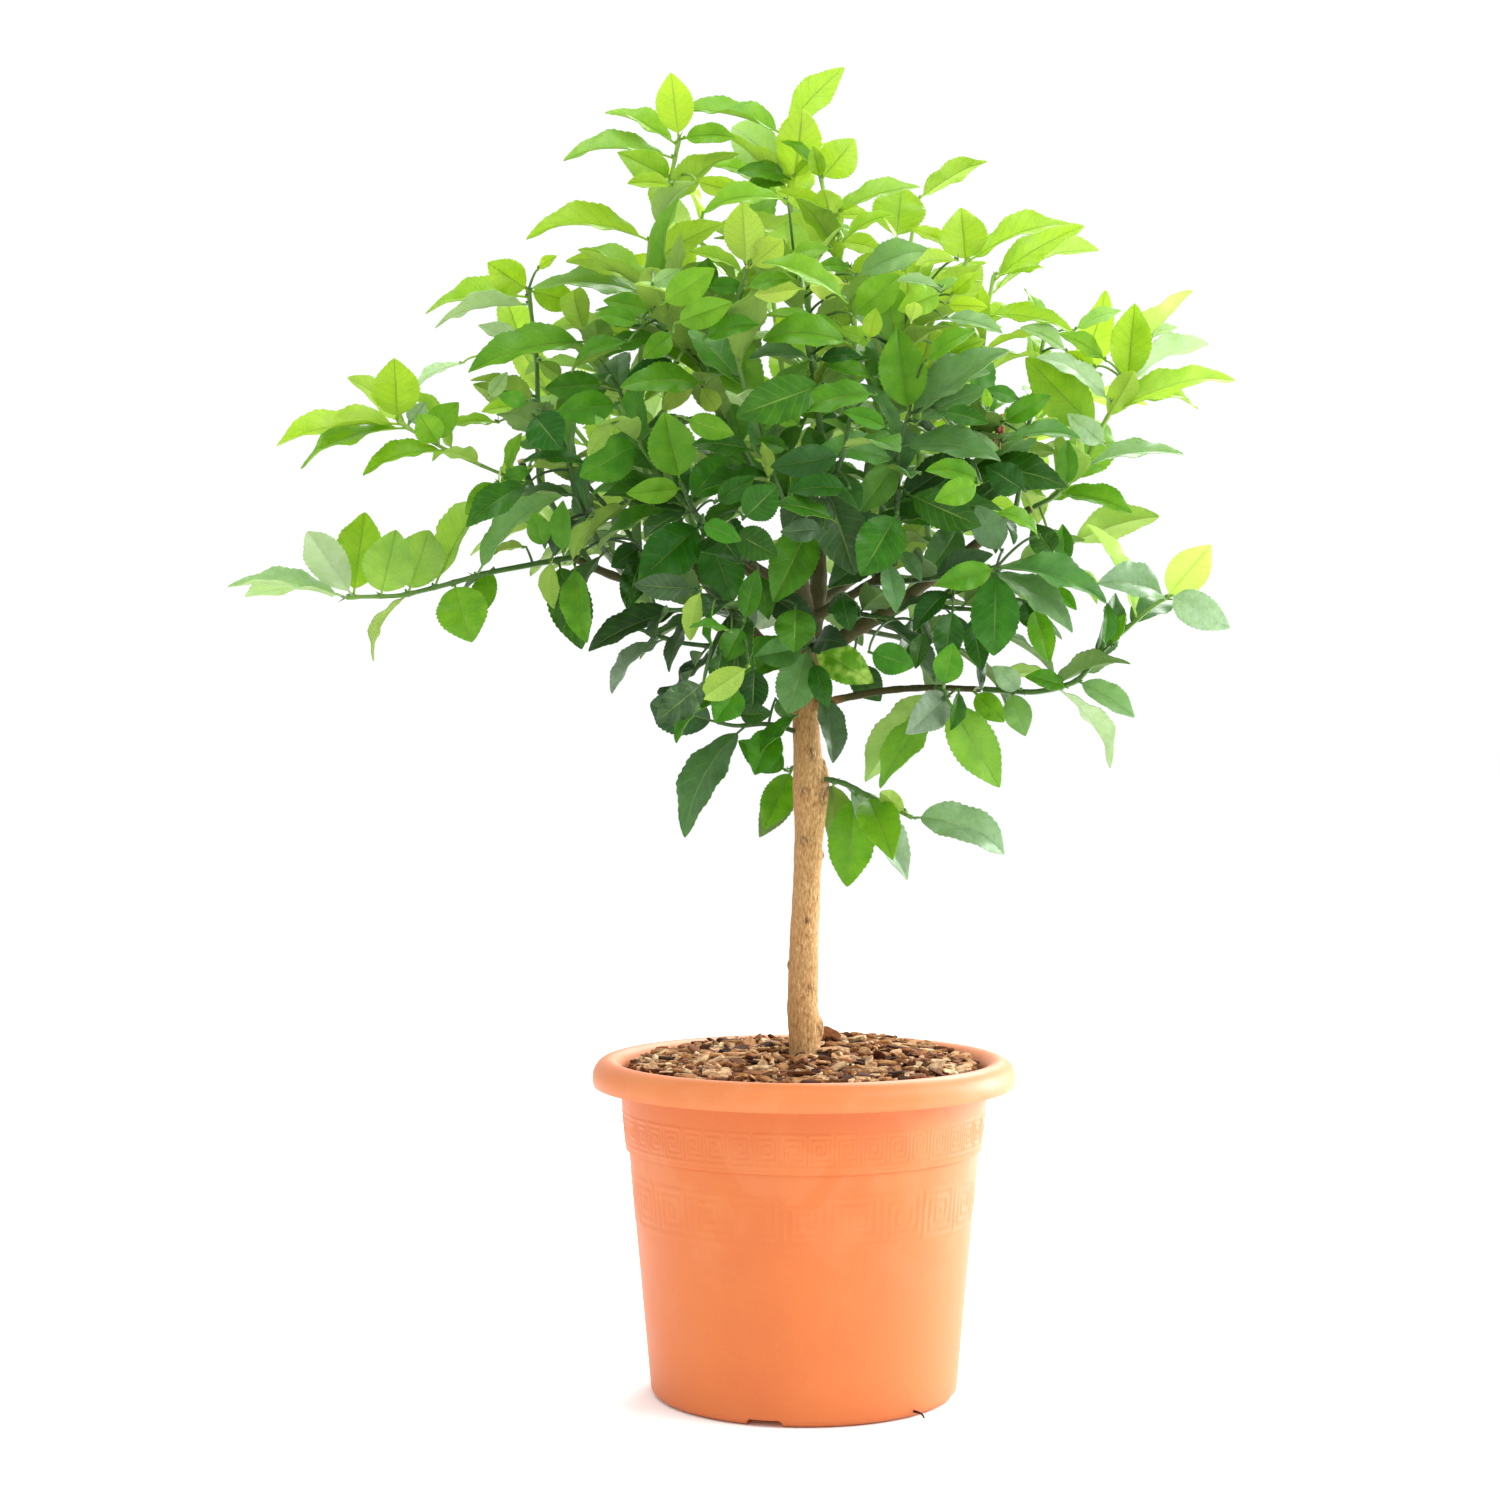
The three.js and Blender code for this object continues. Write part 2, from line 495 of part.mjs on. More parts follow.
    [60, 694, -93], [52, 780, -110], [70, 860, -116], [92, 925, -116]], set: [] },
  back_low: { from: 'limb_back', leaves: 7, size: 82, tone: 'dark', route: [
    [-10, 680, 66], [2, 690, 130], [8, 700, 190], [6, 724, 240]], set: [] },
  back_mid: { from: 'limb_back', leaves: 8, size: 84, tone: 'mid', route: [
    [-8, 745, 130], [0, 786, 176], [10, 840, 206], [14, 890, 216]], set: [] },
  back_left_mid: { from: 'limb_back_left', leaves: 8, size: 82, tone: 'mid', route: [
    [-50, 704, 104], [-92, 742, 176], [-132, 800, 214], [-136, 850, 230]], set: [] },
  back_right_mid: { from: 'limb_back_right', leaves: 8, size: 82, tone: 'mid', route: [
    [36, 690, 82], [70, 726, 158], [120, 796, 208], [126, 850, 224]], set: [] },
  left_middle: { from: 'limb_left_low', leaves: 7, size: 80, tone: 'dark', route: [
    [-120, 686, -4], [-150, 735, 40], [-186, 776, 66], [-214, 820, 76]], set: [] },
  left_near: { from: 'limb_left_low', leaves: 7, size: 80, tone: 'dark', route: [
    [-150, 692, -1], [-176, 726, -70], [-196, 770, -96], [-206, 812, -104]], set: [] },
  front_low_left: { from: 'limb_front_left', leaves: 5, size: 78, tone: 'dark', route: [
    [-20, 692, -82], [-34, 672, -118], [-62, 664, -146]], set: [] },
  front_low_right: { from: 'limb_front_right', leaves: 5, size: 78, tone: 'dark', route: [
    [30, 674, -68], [50, 664, -108], [78, 660, -138]], set: [] },
  under_left: { from: 'limb_left', leaves: 5, size: 78, tone: 'dark', route: [
    [-60, 664, -14], [-84, 668, -60], [-120, 668, -96]], set: [] },
  under_right: { from: 'limb_right', leaves: 5, size: 78, tone: 'dark', route: [
    [90, 680, 18], [120, 670, -40], [152, 668, -70]], set: [] },
  inner_right: { from: 'limb_right', leaves: 5, size: 76, tone: 'dark', route: [
    [45, 652, 10], [84, 644, 26], [124, 640, 44], [166, 652, 58]], set: [] },
  inner_left: { from: 'limb_left', leaves: 5, size: 76, tone: 'dark', route: [
    [-28, 633, -6], [-72, 636, -34], [-108, 640, -58], [-142, 652, -74]], set: [] },

  low_left_twig: { from: 'trunk', leaves: 0, size: 70, tone: 'dark', route: [
    [0, 561, 0], [-30, 571, -14], [-60, 568, -22], [-74, 572, -26]],
  set: [
    [-58, 568, -110, 477, 32, 1, 60], [-74, 572, -134, 588, 40, 1, 60],
    [-24, 569, -42, 527, 32, 1, 30]] },
  low_back_twig: { from: 'trunk', leaves: 1, size: 66, tone: 'mid', route: [
    [2, 534, 0], [-8, 534, 36], [-12, 530, 62]],
  set: [[-10, 532, -34, 480, 30, 1, 30]] },
  low_right_twig: { from: 'trunk', leaves: 0, size: 70, tone: 'mid', route: [
    [10, 527, 0], [35, 520, -16], [60, 506, -26], [93, 490, -32]],
  set: [
    [38, 518, 92, 440, 30, 1, 30], [46, 514, 37, 430, 40, 1, 25],
    [54, 509, 76, 456, 36, 1, 30], [28, 522, 24, 462, 28, -1, 30],
    [93, 490, 178, 466, 34, 1, 80]] },
};
const STEM_SIDES = 3; // young citrus stems are angular

// Half the width of the blade along its length, as a share of the widest
function bladeWidth(share) {
  const blade = Math.max(0, Math.min(1, (share - 0.1) / 0.9));
  return Math.sin(Math.PI * blade ** 0.88) ** 0.72;
}

// A frame on the midrib: it bends away from the leaf's face like a bow
function midribAt(leaf, share) {
  const turn = leaf.arch * share;
  const reach = leaf.length / leaf.arch;
  const point = leaf.base.clone().addScaledVector(leaf.along, Math.sin(turn) * reach);
  point.addScaledVector(leaf.face, (Math.cos(turn) - 1) * reach);
  const face = leaf.face.clone().multiplyScalar(Math.cos(turn)).addScaledVector(leaf.along, Math.sin(turn));
  return { point, face };
}

// A point of the blade: across runs from -1 at its left edge to 1 at its right
function bladePoint(leaf, share, across) {
  const { point, face } = midribAt(leaf, share);
  const half = (leaf.width / 2) * bladeWidth(share) * Math.abs(across);
  point.addScaledVector(leaf.side, Math.sign(across) * half * Math.cos(leaf.fold));
  const wave = leaf.wave * Math.sin(share * 11 + leaf.phase + across) * Math.abs(across);
  return point.addScaledVector(face, half * Math.sin(leaf.fold) + wave * half);
}

// A leaf from its base, tip and facing: the bow's chord runs from base to tip
function leafOf(base, tip, facing, width, arch, random) {
  const chord = tip.clone().sub(base);
  const straight = chord.length();
  chord.divideScalar(straight);
  const up = facing.clone().addScaledVector(chord, -facing.dot(chord)).normalize();
  const half = arch / 2;
  return {
    base,
    arch,
    width,
    length: (straight * half) / Math.sin(half),
    along: chord.clone().multiplyScalar(Math.cos(half)).addScaledVector(up, Math.sin(half)),
    face: up.clone().multiplyScalar(Math.cos(half)).addScaledVector(chord, -Math.sin(half)),
    side: chord.clone().cross(up),
    fold: between(0.12, 0.42, random()),
    wave: between(0.05, 0.16, random()),
    phase: random() * 6,
  };
}

const PLACES_ALONG = [0.3, 0.42, 0.54, 0.66, 0.78, 0.9, 1];
const PLACES_ACROSS = [-0.9, -0.3, 0.3, 0.9];

function leafSamples(leaf) {
  return PLACES_ALONG.flatMap((share) => PLACES_ACROSS.map((across) => bladePoint(leaf, share, across)));
}

// What is already in the crown, which a new leaf must keep clear of
const grown = { leaves: [], stems: [] };

// The least free way round a leaf, less the gap that it should keep
function freeWay(samples, shoot) {
  const middle = samples[14];
  let free = Infinity;
  for (const other of grown.leaves) {
    if (middle.distanceTo(other.samples[14]) > 150) continue;
    const gap = other.shoot === shoot ? NEAR_GAP : LEAF_GAP;
    for (const a of samples) {
      for (const b of other.samples) {
        free = Math.min(free, a.distanceTo(b) - gap);
      }
    }
  }
  for (const stem of grown.stems) {
    if (stem.shoot === shoot || middle.distanceTo(stem.point) > 90) continue;
    for (const a of samples) {
      free = Math.min(free, a.distanceTo(stem.point) - stem.radius - STEM_GAP);
    }
  }
  return free;
}

// Where leaves may grow on a stem: all but its first stretch
const leafPlaces = (route) => finely(route).slice(2);

// How far the bow and the fold carry a blade off the line between its ends
const BOW_LIFT = 1 / 12; // as a share of its length, for each radian of arch
const FOLD_LIFT = 0.053; // as a share of its width

// The way a leaf faces so that its outline is as wide as shown, and how far off its line it then stands
function turnedLeaf(base, tip, shown, side, arch) {
  const chord = tip.clone().sub(base);
  const length = chord.length();
  const width = Math.max(shown, LEAF_RATIO * length);
  chord.normalize();
  const viewer = VIEW.clone().sub(base).normalize();
  viewer.addScaledVector(chord, -viewer.dot(chord)).normalize();
  const edge = chord.clone().cross(viewer);
  const outward = base.clone().sub(CROWN_CENTRE).normalize();
  const turn = Math.acos(Math.min(1, shown / width)) * (edge.z + 0.4 * edge.dot(outward) < 0 ? -1 : 1);
  const lift = edge.clone().multiplyScalar(Math.sin(turn) * (length * arch * BOW_LIFT + width * FOLD_LIFT));
  const facing = viewer.multiplyScalar(side * Math.cos(turn)).addScaledVector(edge, Math.sin(turn));
  return { width, facing, lift };
}

// A leaf placed by hand keeps its outline from the front, and moves its tip in depth to keep clear
function setLeaf(name, route, [x0, z0, x1, z1, shown, side, bend], random) {
  const places = leafPlaces(route);
  const target = new THREE.Vector3(x0, 0, z0);
  const arch = THREE.MathUtils.degToRad(bend);
  const first = nearest(places, target, seenDistance);
  const { lift } = turnedLeaf(first, seen(x1, z1, first.y), shown, side, arch);
  const base = nearest(places, target.sub(lift), seenDistance);
  let best = null;
  for (const shift of [-14, 10, -30, 28, -46, 44, -62, 60]) {
    const tip = seen(x1 - lift.x, z1 - lift.z, base.y + shift);
    const { width, facing } = turnedLeaf(base, tip, shown, side, arch);
    const leaf = leafOf(base, tip, facing, width, arch, random);
    const samples = leafSamples(leaf);
    const free = freeWay(samples, name);
    if (!best || free > best.free) best = { leaf, samples, free };
    if (free > 0) break;
  }
  return best;
}

// A leaf placed by the rule: each stands a fixed turn further round the stem than the last
function ruleLeaf(name, shoot, route, number, seed) {
  const points = leafPlaces(route);
  const reach = shoot.set.length > 0 ? 0.8 : 1; // leaves placed by hand take the tip
  const share = between(0.1, reach, (number + 0.8) / shoot.leaves);
  const index = Math.min(points.length - 2, Math.floor(share * (points.length - 1)));
  const base = points[index];
  const along = points[index + 1].clone().sub(base).normalize();
  const side = along.clone().cross(new THREE.Vector3(0, 0, 1)).normalize();
  const over = side.clone().cross(along);
  const outward = base.clone().sub(CROWN_CENTRE).normalize();
  for (let attempt = 0; attempt < 9; attempt += 1) {
    const random = dice(seed * 1009 + number * 31 + attempt * 7);
    const round = seed + number * TURN + attempt * 0.9;
    const lean = between(1.35, 0.8, share) + between(-0.15, 0.2, random());
    const radial = side.clone().multiplyScalar(Math.cos(round)).addScaledVector(over, Math.sin(round));
    const heading = along.clone().multiplyScalar(Math.cos(lean)).addScaledVector(radial, Math.sin(lean));
    heading.addScaledVector(outward, 0.45);
    heading.z -= between(0.75, 0.3, share) * random();
    heading.normalize();
    const length = shoot.size * between(0.78, 1.15, random()) * (1 - 0.04 * attempt);
    const facing = new THREE.Vector3(0, 0, 0.75).addScaledVector(outward, 0.55).addScaledVector(along, 0.2);
    facing.x += between(-0.3, 0.3, random());
    facing.y += between(-0.3, 0.3, random());
    const tip = base.clone().addScaledVector(heading, length);
    const width = length * between(LEAF_RATIO - 0.03, LEAF_RATIO + 0.06, random());
    const leaf = leafOf(base, tip, facing, width, between(0.35, 1, random()), random);
    const samples = leafSamples(leaf);
    const free = freeWay(samples, name);
    if (free > 0) return { leaf, samples, free };
  }
  return null;
}

// Rows of points across a blade: place along the leaf, and thickness at the midrib
const FINE_ROWS = [[0.23, 2.2], [0.52, 1.5], [0.8, 1.1]];
const PLAIN_ROWS = [[0.28, 2.2], [0.7, 1.3]];
const ROOT = 0.6; // how far the leaf's stalk reaches past the middle of its stem

// A thin blade with a lens-shaped section, split into triangles alike on both faces
function leafSolid(leaf) {
  const points = [leaf.base.clone().addScaledVector(leaf.along, -ROOT)];
  for (const [share, thickness] of leaf.rows) {
    const { point, face } = midribAt(leaf, share);
    points.push(point, bladePoint(leaf, share, -1));
    points.push(point.clone().addScaledVector(face, -thickness), bladePoint(leaf, share, 1));
  }
  points.push(midribAt(leaf, 1).point);
  const tip = points.length - 1;
  const triangles = [];
  for (let side = 0; side < 4; side += 1) {
    const next = (side + 1) % 4;
    triangles.push([0, 1 + next, 1 + side], [tip, tip - 4 + side, tip - 4 + next]);
  }
  for (let row = 1; row + 4 < tip; row += 4) {
    for (let side = 0; side < 4; side += 1) {
      const [a, b] = [row + side, row + ((side + 1) % 4)];
      const fromEdge = side % 2 === 1;
      triangles.push(fromEdge ? [a, b, b + 4] : [a, b, a + 4]);
      triangles.push(fromEdge ? [a, b + 4, a + 4] : [b, b + 4, a + 4]);
    }
  }
  return solidOf(geometryFrom(points, triangles));
}

// ---- Putting the tree together ----

const stems = { trunk: { route: TRUNK.map(trunkPoint), radii: trunkGirth(0), sides: TRUNK_SIDES } };

// A route's first point moves inside the stem that it grows from, a little past its middle
function routeOf({ from, route }) {
  const points = route.map(([x, z, depth]) => seen(x, z, depth));
  const start = nearest(finely(stems[from].route, 2), points[0], distance).clone();
  const heading = points[1].clone().sub(start).normalize();
  points[0] = start.addScaledVector(heading, stems[from].radii.at(-1) * 0.8);
  return points;
}

function taper(route, first, last) {
  return route.map((point, index) => between(first, last, index / (route.length - 1)));
}

function growStem(name, row, first, last, sides) {
  const route = routeOf(row);
  stems[name] = { route, radii: taper(route, first, last), sides };
  finely(route).forEach((point, index, all) => {
    grown.stems.push({ shoot: name, point, radius: between(first, last, index / (all.length - 1)) });
  });
}

function stemSolid(name, extra = 0) {
  const { route, radii, sides } = stems[name];
  const more = extra / Math.cos(Math.PI / sides);
  return sweep(route, radii.map((radius) => radius + more), sides);
}

function routeLength(row) {
  return row.route.slice(1).reduce((sum, point, i) => sum + Math.hypot(
    point[0] - row.route[i][0], point[1] - row.route[i][1], point[2] - row.route[i][2]), 0);
}

// A side shoot is slimmer than the shoot that carries it
function shootGirth(row) {
  return row.from in SHOOTS ? [1.7, 1.6] : [2.2 + routeLength(row) / 240, 1.9];
}

finely(stems.trunk.route).forEach((point) => grown.stems.push({ shoot: 'trunk', point, radius: 14 }));
for (const [name, limb] of Object.entries(LIMBS)) {
  growStem(name, limb, limb.girth[0], limb.girth[1], LIMB_SIDES);
}
for (const [name, shoot] of Object.entries(SHOOTS)) {
  growStem(name, shoot, ...shootGirth(shoot), STEM_SIDES);
}

const leavesOf = Object.fromEntries(Object.keys(SHOOTS).map((name) => [name, []]));

function keep(name, rows, placed) {
  if (!placed) return;
  grown.leaves.push({ shoot: name, samples: placed.samples });
  leavesOf[name].push({ ...placed.leaf, rows });
}

Object.entries(SHOOTS).forEach(([name, shoot], order) => {
  shoot.set.forEach((row, number) => {
    keep(name, FINE_ROWS, setLeaf(name, stems[name].route, row, dice(order * 101 + number)));
  });
});
Object.entries(SHOOTS).forEach(([name, shoot], order) => {
  for (let number = 0; number < shoot.leaves; number += 1) {
    keep(name, PLAIN_ROWS, ruleLeaf(name, shoot, stems[name].route, number, order + 1));
  }
});

function makeTrunk() {
  return Object.keys(LIMBS).reduce((wood, name) => wood.add(stemSolid(name)), stemSolid('trunk'));
}

// Everything woody, a little larger, which each shoot stops short of
const woodRoom = Object.keys(LIMBS).reduce(
  (wood, name) => wood.add(stemSolid(name, CLEARANCE)), stemSolid('trunk', CLEARANCE));

function makeShoot(name, shoot) {
  const leafy = leavesOf[name].reduce((solid, leaf) => solid.add(leafSolid(leaf)), stemSolid(name));
  const free = leafy.subtract(woodRoom);
  return shoot.from in SHOOTS ? free.subtract(stemSolid(shoot.from, CLEARANCE)) : free;
}

// ---- The tree in its pot ----

const potPlastic = new THREE.MeshStandardMaterial({ color: 0xf28a52, roughness: 0.5, metalness: 0 });
const compost = new THREE.MeshStandardMaterial({ color: 0x3a2a1e, roughness: 1, metalness: 0 });
const barkMulch = new THREE.MeshStandardMaterial({ color: 0x9a7350, roughness: 0.9, metalness: 0 });
const bark = new THREE.MeshStandardMaterial({ color: 0xc79a66, roughness: 0.8, metalness: 0 });
const leafGreen = Object.fromEntries(Object.entries(GREEN).map(([tone, color]) => [
  tone, new THREE.MeshStandardMaterial({ color, roughness: 0.45, metalness: 0 })]));

const tree = new THREE.Group();

function place(name, solid, material) {
  const mesh = new THREE.Mesh(geometryOf(solid), material);
  mesh.name = name;
  tree.add(mesh);
}

place('pot', makePot(), potPlastic);
place('soil', makeSoil(), compost);
place('mulch', makeMulch(), barkMulch);
place('trunk', makeTrunk(), bark);
for (const [name, shoot] of Object.entries(SHOOTS)) {
  place(`shoot_${name}`, makeShoot(name, shoot), leafGreen[shoot.tone]);
}

export default tree;
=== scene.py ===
"""A young lemon tree in a terracotta-coloured plastic pot, with bark mulch over its compost.

Lengths are millimetres up to the point where a mesh is made, +Z up, with the origin at the middle
of the pot's foot. The front of the tree looks along -Y.
"""

import math
from types import SimpleNamespace

import bpy
import numpy as np
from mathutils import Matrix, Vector, noise


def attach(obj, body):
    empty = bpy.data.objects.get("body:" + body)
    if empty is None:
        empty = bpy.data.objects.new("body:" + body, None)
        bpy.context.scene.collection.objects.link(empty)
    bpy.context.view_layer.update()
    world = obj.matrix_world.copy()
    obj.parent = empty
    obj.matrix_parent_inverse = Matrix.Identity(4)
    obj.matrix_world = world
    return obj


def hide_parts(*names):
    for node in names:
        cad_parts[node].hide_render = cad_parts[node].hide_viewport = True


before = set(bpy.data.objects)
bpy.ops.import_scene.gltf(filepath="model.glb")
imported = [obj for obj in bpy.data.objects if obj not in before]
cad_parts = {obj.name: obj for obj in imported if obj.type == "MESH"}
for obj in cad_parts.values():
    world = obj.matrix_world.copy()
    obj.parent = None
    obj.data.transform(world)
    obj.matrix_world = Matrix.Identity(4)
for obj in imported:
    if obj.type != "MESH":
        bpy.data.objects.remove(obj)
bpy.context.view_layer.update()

MM = 0.001

# ---- Pot, soil and mulch: the sizes of the CAD part ----

POT_HEIGHT = 285
RIM_RADIUS = 181
RIM_OPENING = 154
RIM_DEPTH = 22
BEAD_RISE = 16  # from the widest point of the rim to its top
COLLAR_RADIUS = (157, 152.5)
COLLAR_BOTTOM = 210
STEP_DEPTH = 3
FOOT_RADIUS = 131  # above the bevel of the foot
FOOT_BEVEL = 7
WALL = 3.5
FLOOR_TOP = 9
CHANNEL_COUNT = 4
CHANNEL_WIDTH = 30
CHANNEL_DEPTH = 5.5
CHANNEL_INNER = 45
CHANNEL_ANGLE = -105.5  # degrees from +X, the first channel
DRAIN_RADIUS = 6
DRAIN_DISTANCE = 86
SOIL_TOP = 262
MULCH_EDGE = 280
MULCH_RISE = 12
STEM_FOOT = 190
STEM_TOP = 640

# ---- Reading tables ----


def rows(text):
    """Rows of numbers from text in which commas end the rows"""
    return [tuple(float(number) for number in row.split()) for row in text.split(",")]


def read_stems(text, first, second):
    """Stems from text. A line of words names a stem, what it grows from, its two numbers and, for a
    shoot, its tone. The lines under it hold the points of its route and the leaves placed one by one."""
    found = {}
    for line in text.strip().split("\n"):
        if line.startswith(" "):
            for row in rows(line.strip(" ,")):
                found[name]["route" if len(row) == 3 else "set"].append(row)
        else:
            name, carrier, one, two, *tone = line.split()
            found[name] = {"from": carrier, first: float(one), second: float(two), "tone": "".join(tone)}
            found[name] |= {"route": [], "set": []}
    return found


# ---- The tree: where its parts show from the front, and the rule by which leaves stand ----

VIEW = np.array((-46.0, -2400.0, 585.0))
TURN = math.radians(137.5)  # from one leaf to the next round its stem
LEAF_RATIO = 0.45  # width to length
LEAF_GAP = 12
NEAR_GAP = 9
STEM_GAP = 5
CROWN_CENTRE = np.array((0.0, 0.0, 760.0))
UP = np.array((0.0, 0.0, 1.0))

# The stem as it shows: height, middle and radius
TRUNK = rows("""
190 1 13.5, 283 1 13.5, 300 1 13.6, 313 0.5 14.8, 330 -1 13.4, 390 0.5 12.6, 434 2.8 12, 477 4.5 12.6,
503 6 15, 522 5.7 15.6, 540 3.5 12.6, 580 1.5 11.4, 612 0 11.6, 640 2 10
""")

# Woody limbs: what each grows from, its radius at both ends, and where it shows from the front, x and z
# and depth, point by point
LIMBS = read_stems("""
limb_left trunk 8 4
 0 606 0, -22 628 -4, -40 642 -8, -60 664 -14, -85 695 -20, -128 738 -28
limb_left_low limb_left 5 3.6
 -60 664 -14, -105 682 -6, -165 697 0, -197 713 -4
limb_leader trunk 9 4.5
 2 620 0, 9 655 4, 14 700 8, 8 745 10, 6 790 8, 14 826 4
limb_right trunk 7.5 3.6
 4 618 0, 35 646 8, 75 668 16, 112 697 22, 152 728 20, 195 755 14
limb_right_low trunk 3.8 2.7
 4 584 0, 30 592 -12, 72 600 -26, 112 602 -36, 152 600 -42
limb_back trunk 8 4
 2 622 4, -6 660 42, -16 700 92, -8 745 130
limb_back_right limb_back 5.5 3.6
 -6 660 42, 36 690 82, 82 722 118
limb_back_left limb_back 5.5 3.6
 -12 685 74, -58 706 108, -104 740 134
limb_front trunk 6.5 3.6
 3 626 -4, 6 660 -48, -2 698 -92, 4 738 -128
limb_front_right limb_front 5 3.4
 6 660 -48, 40 680 -78, 78 704 -104
limb_front_left limb_front 5 3.4
 2 680 -70, -34 700 -92, -68 724 -116
""", "foot", "end")
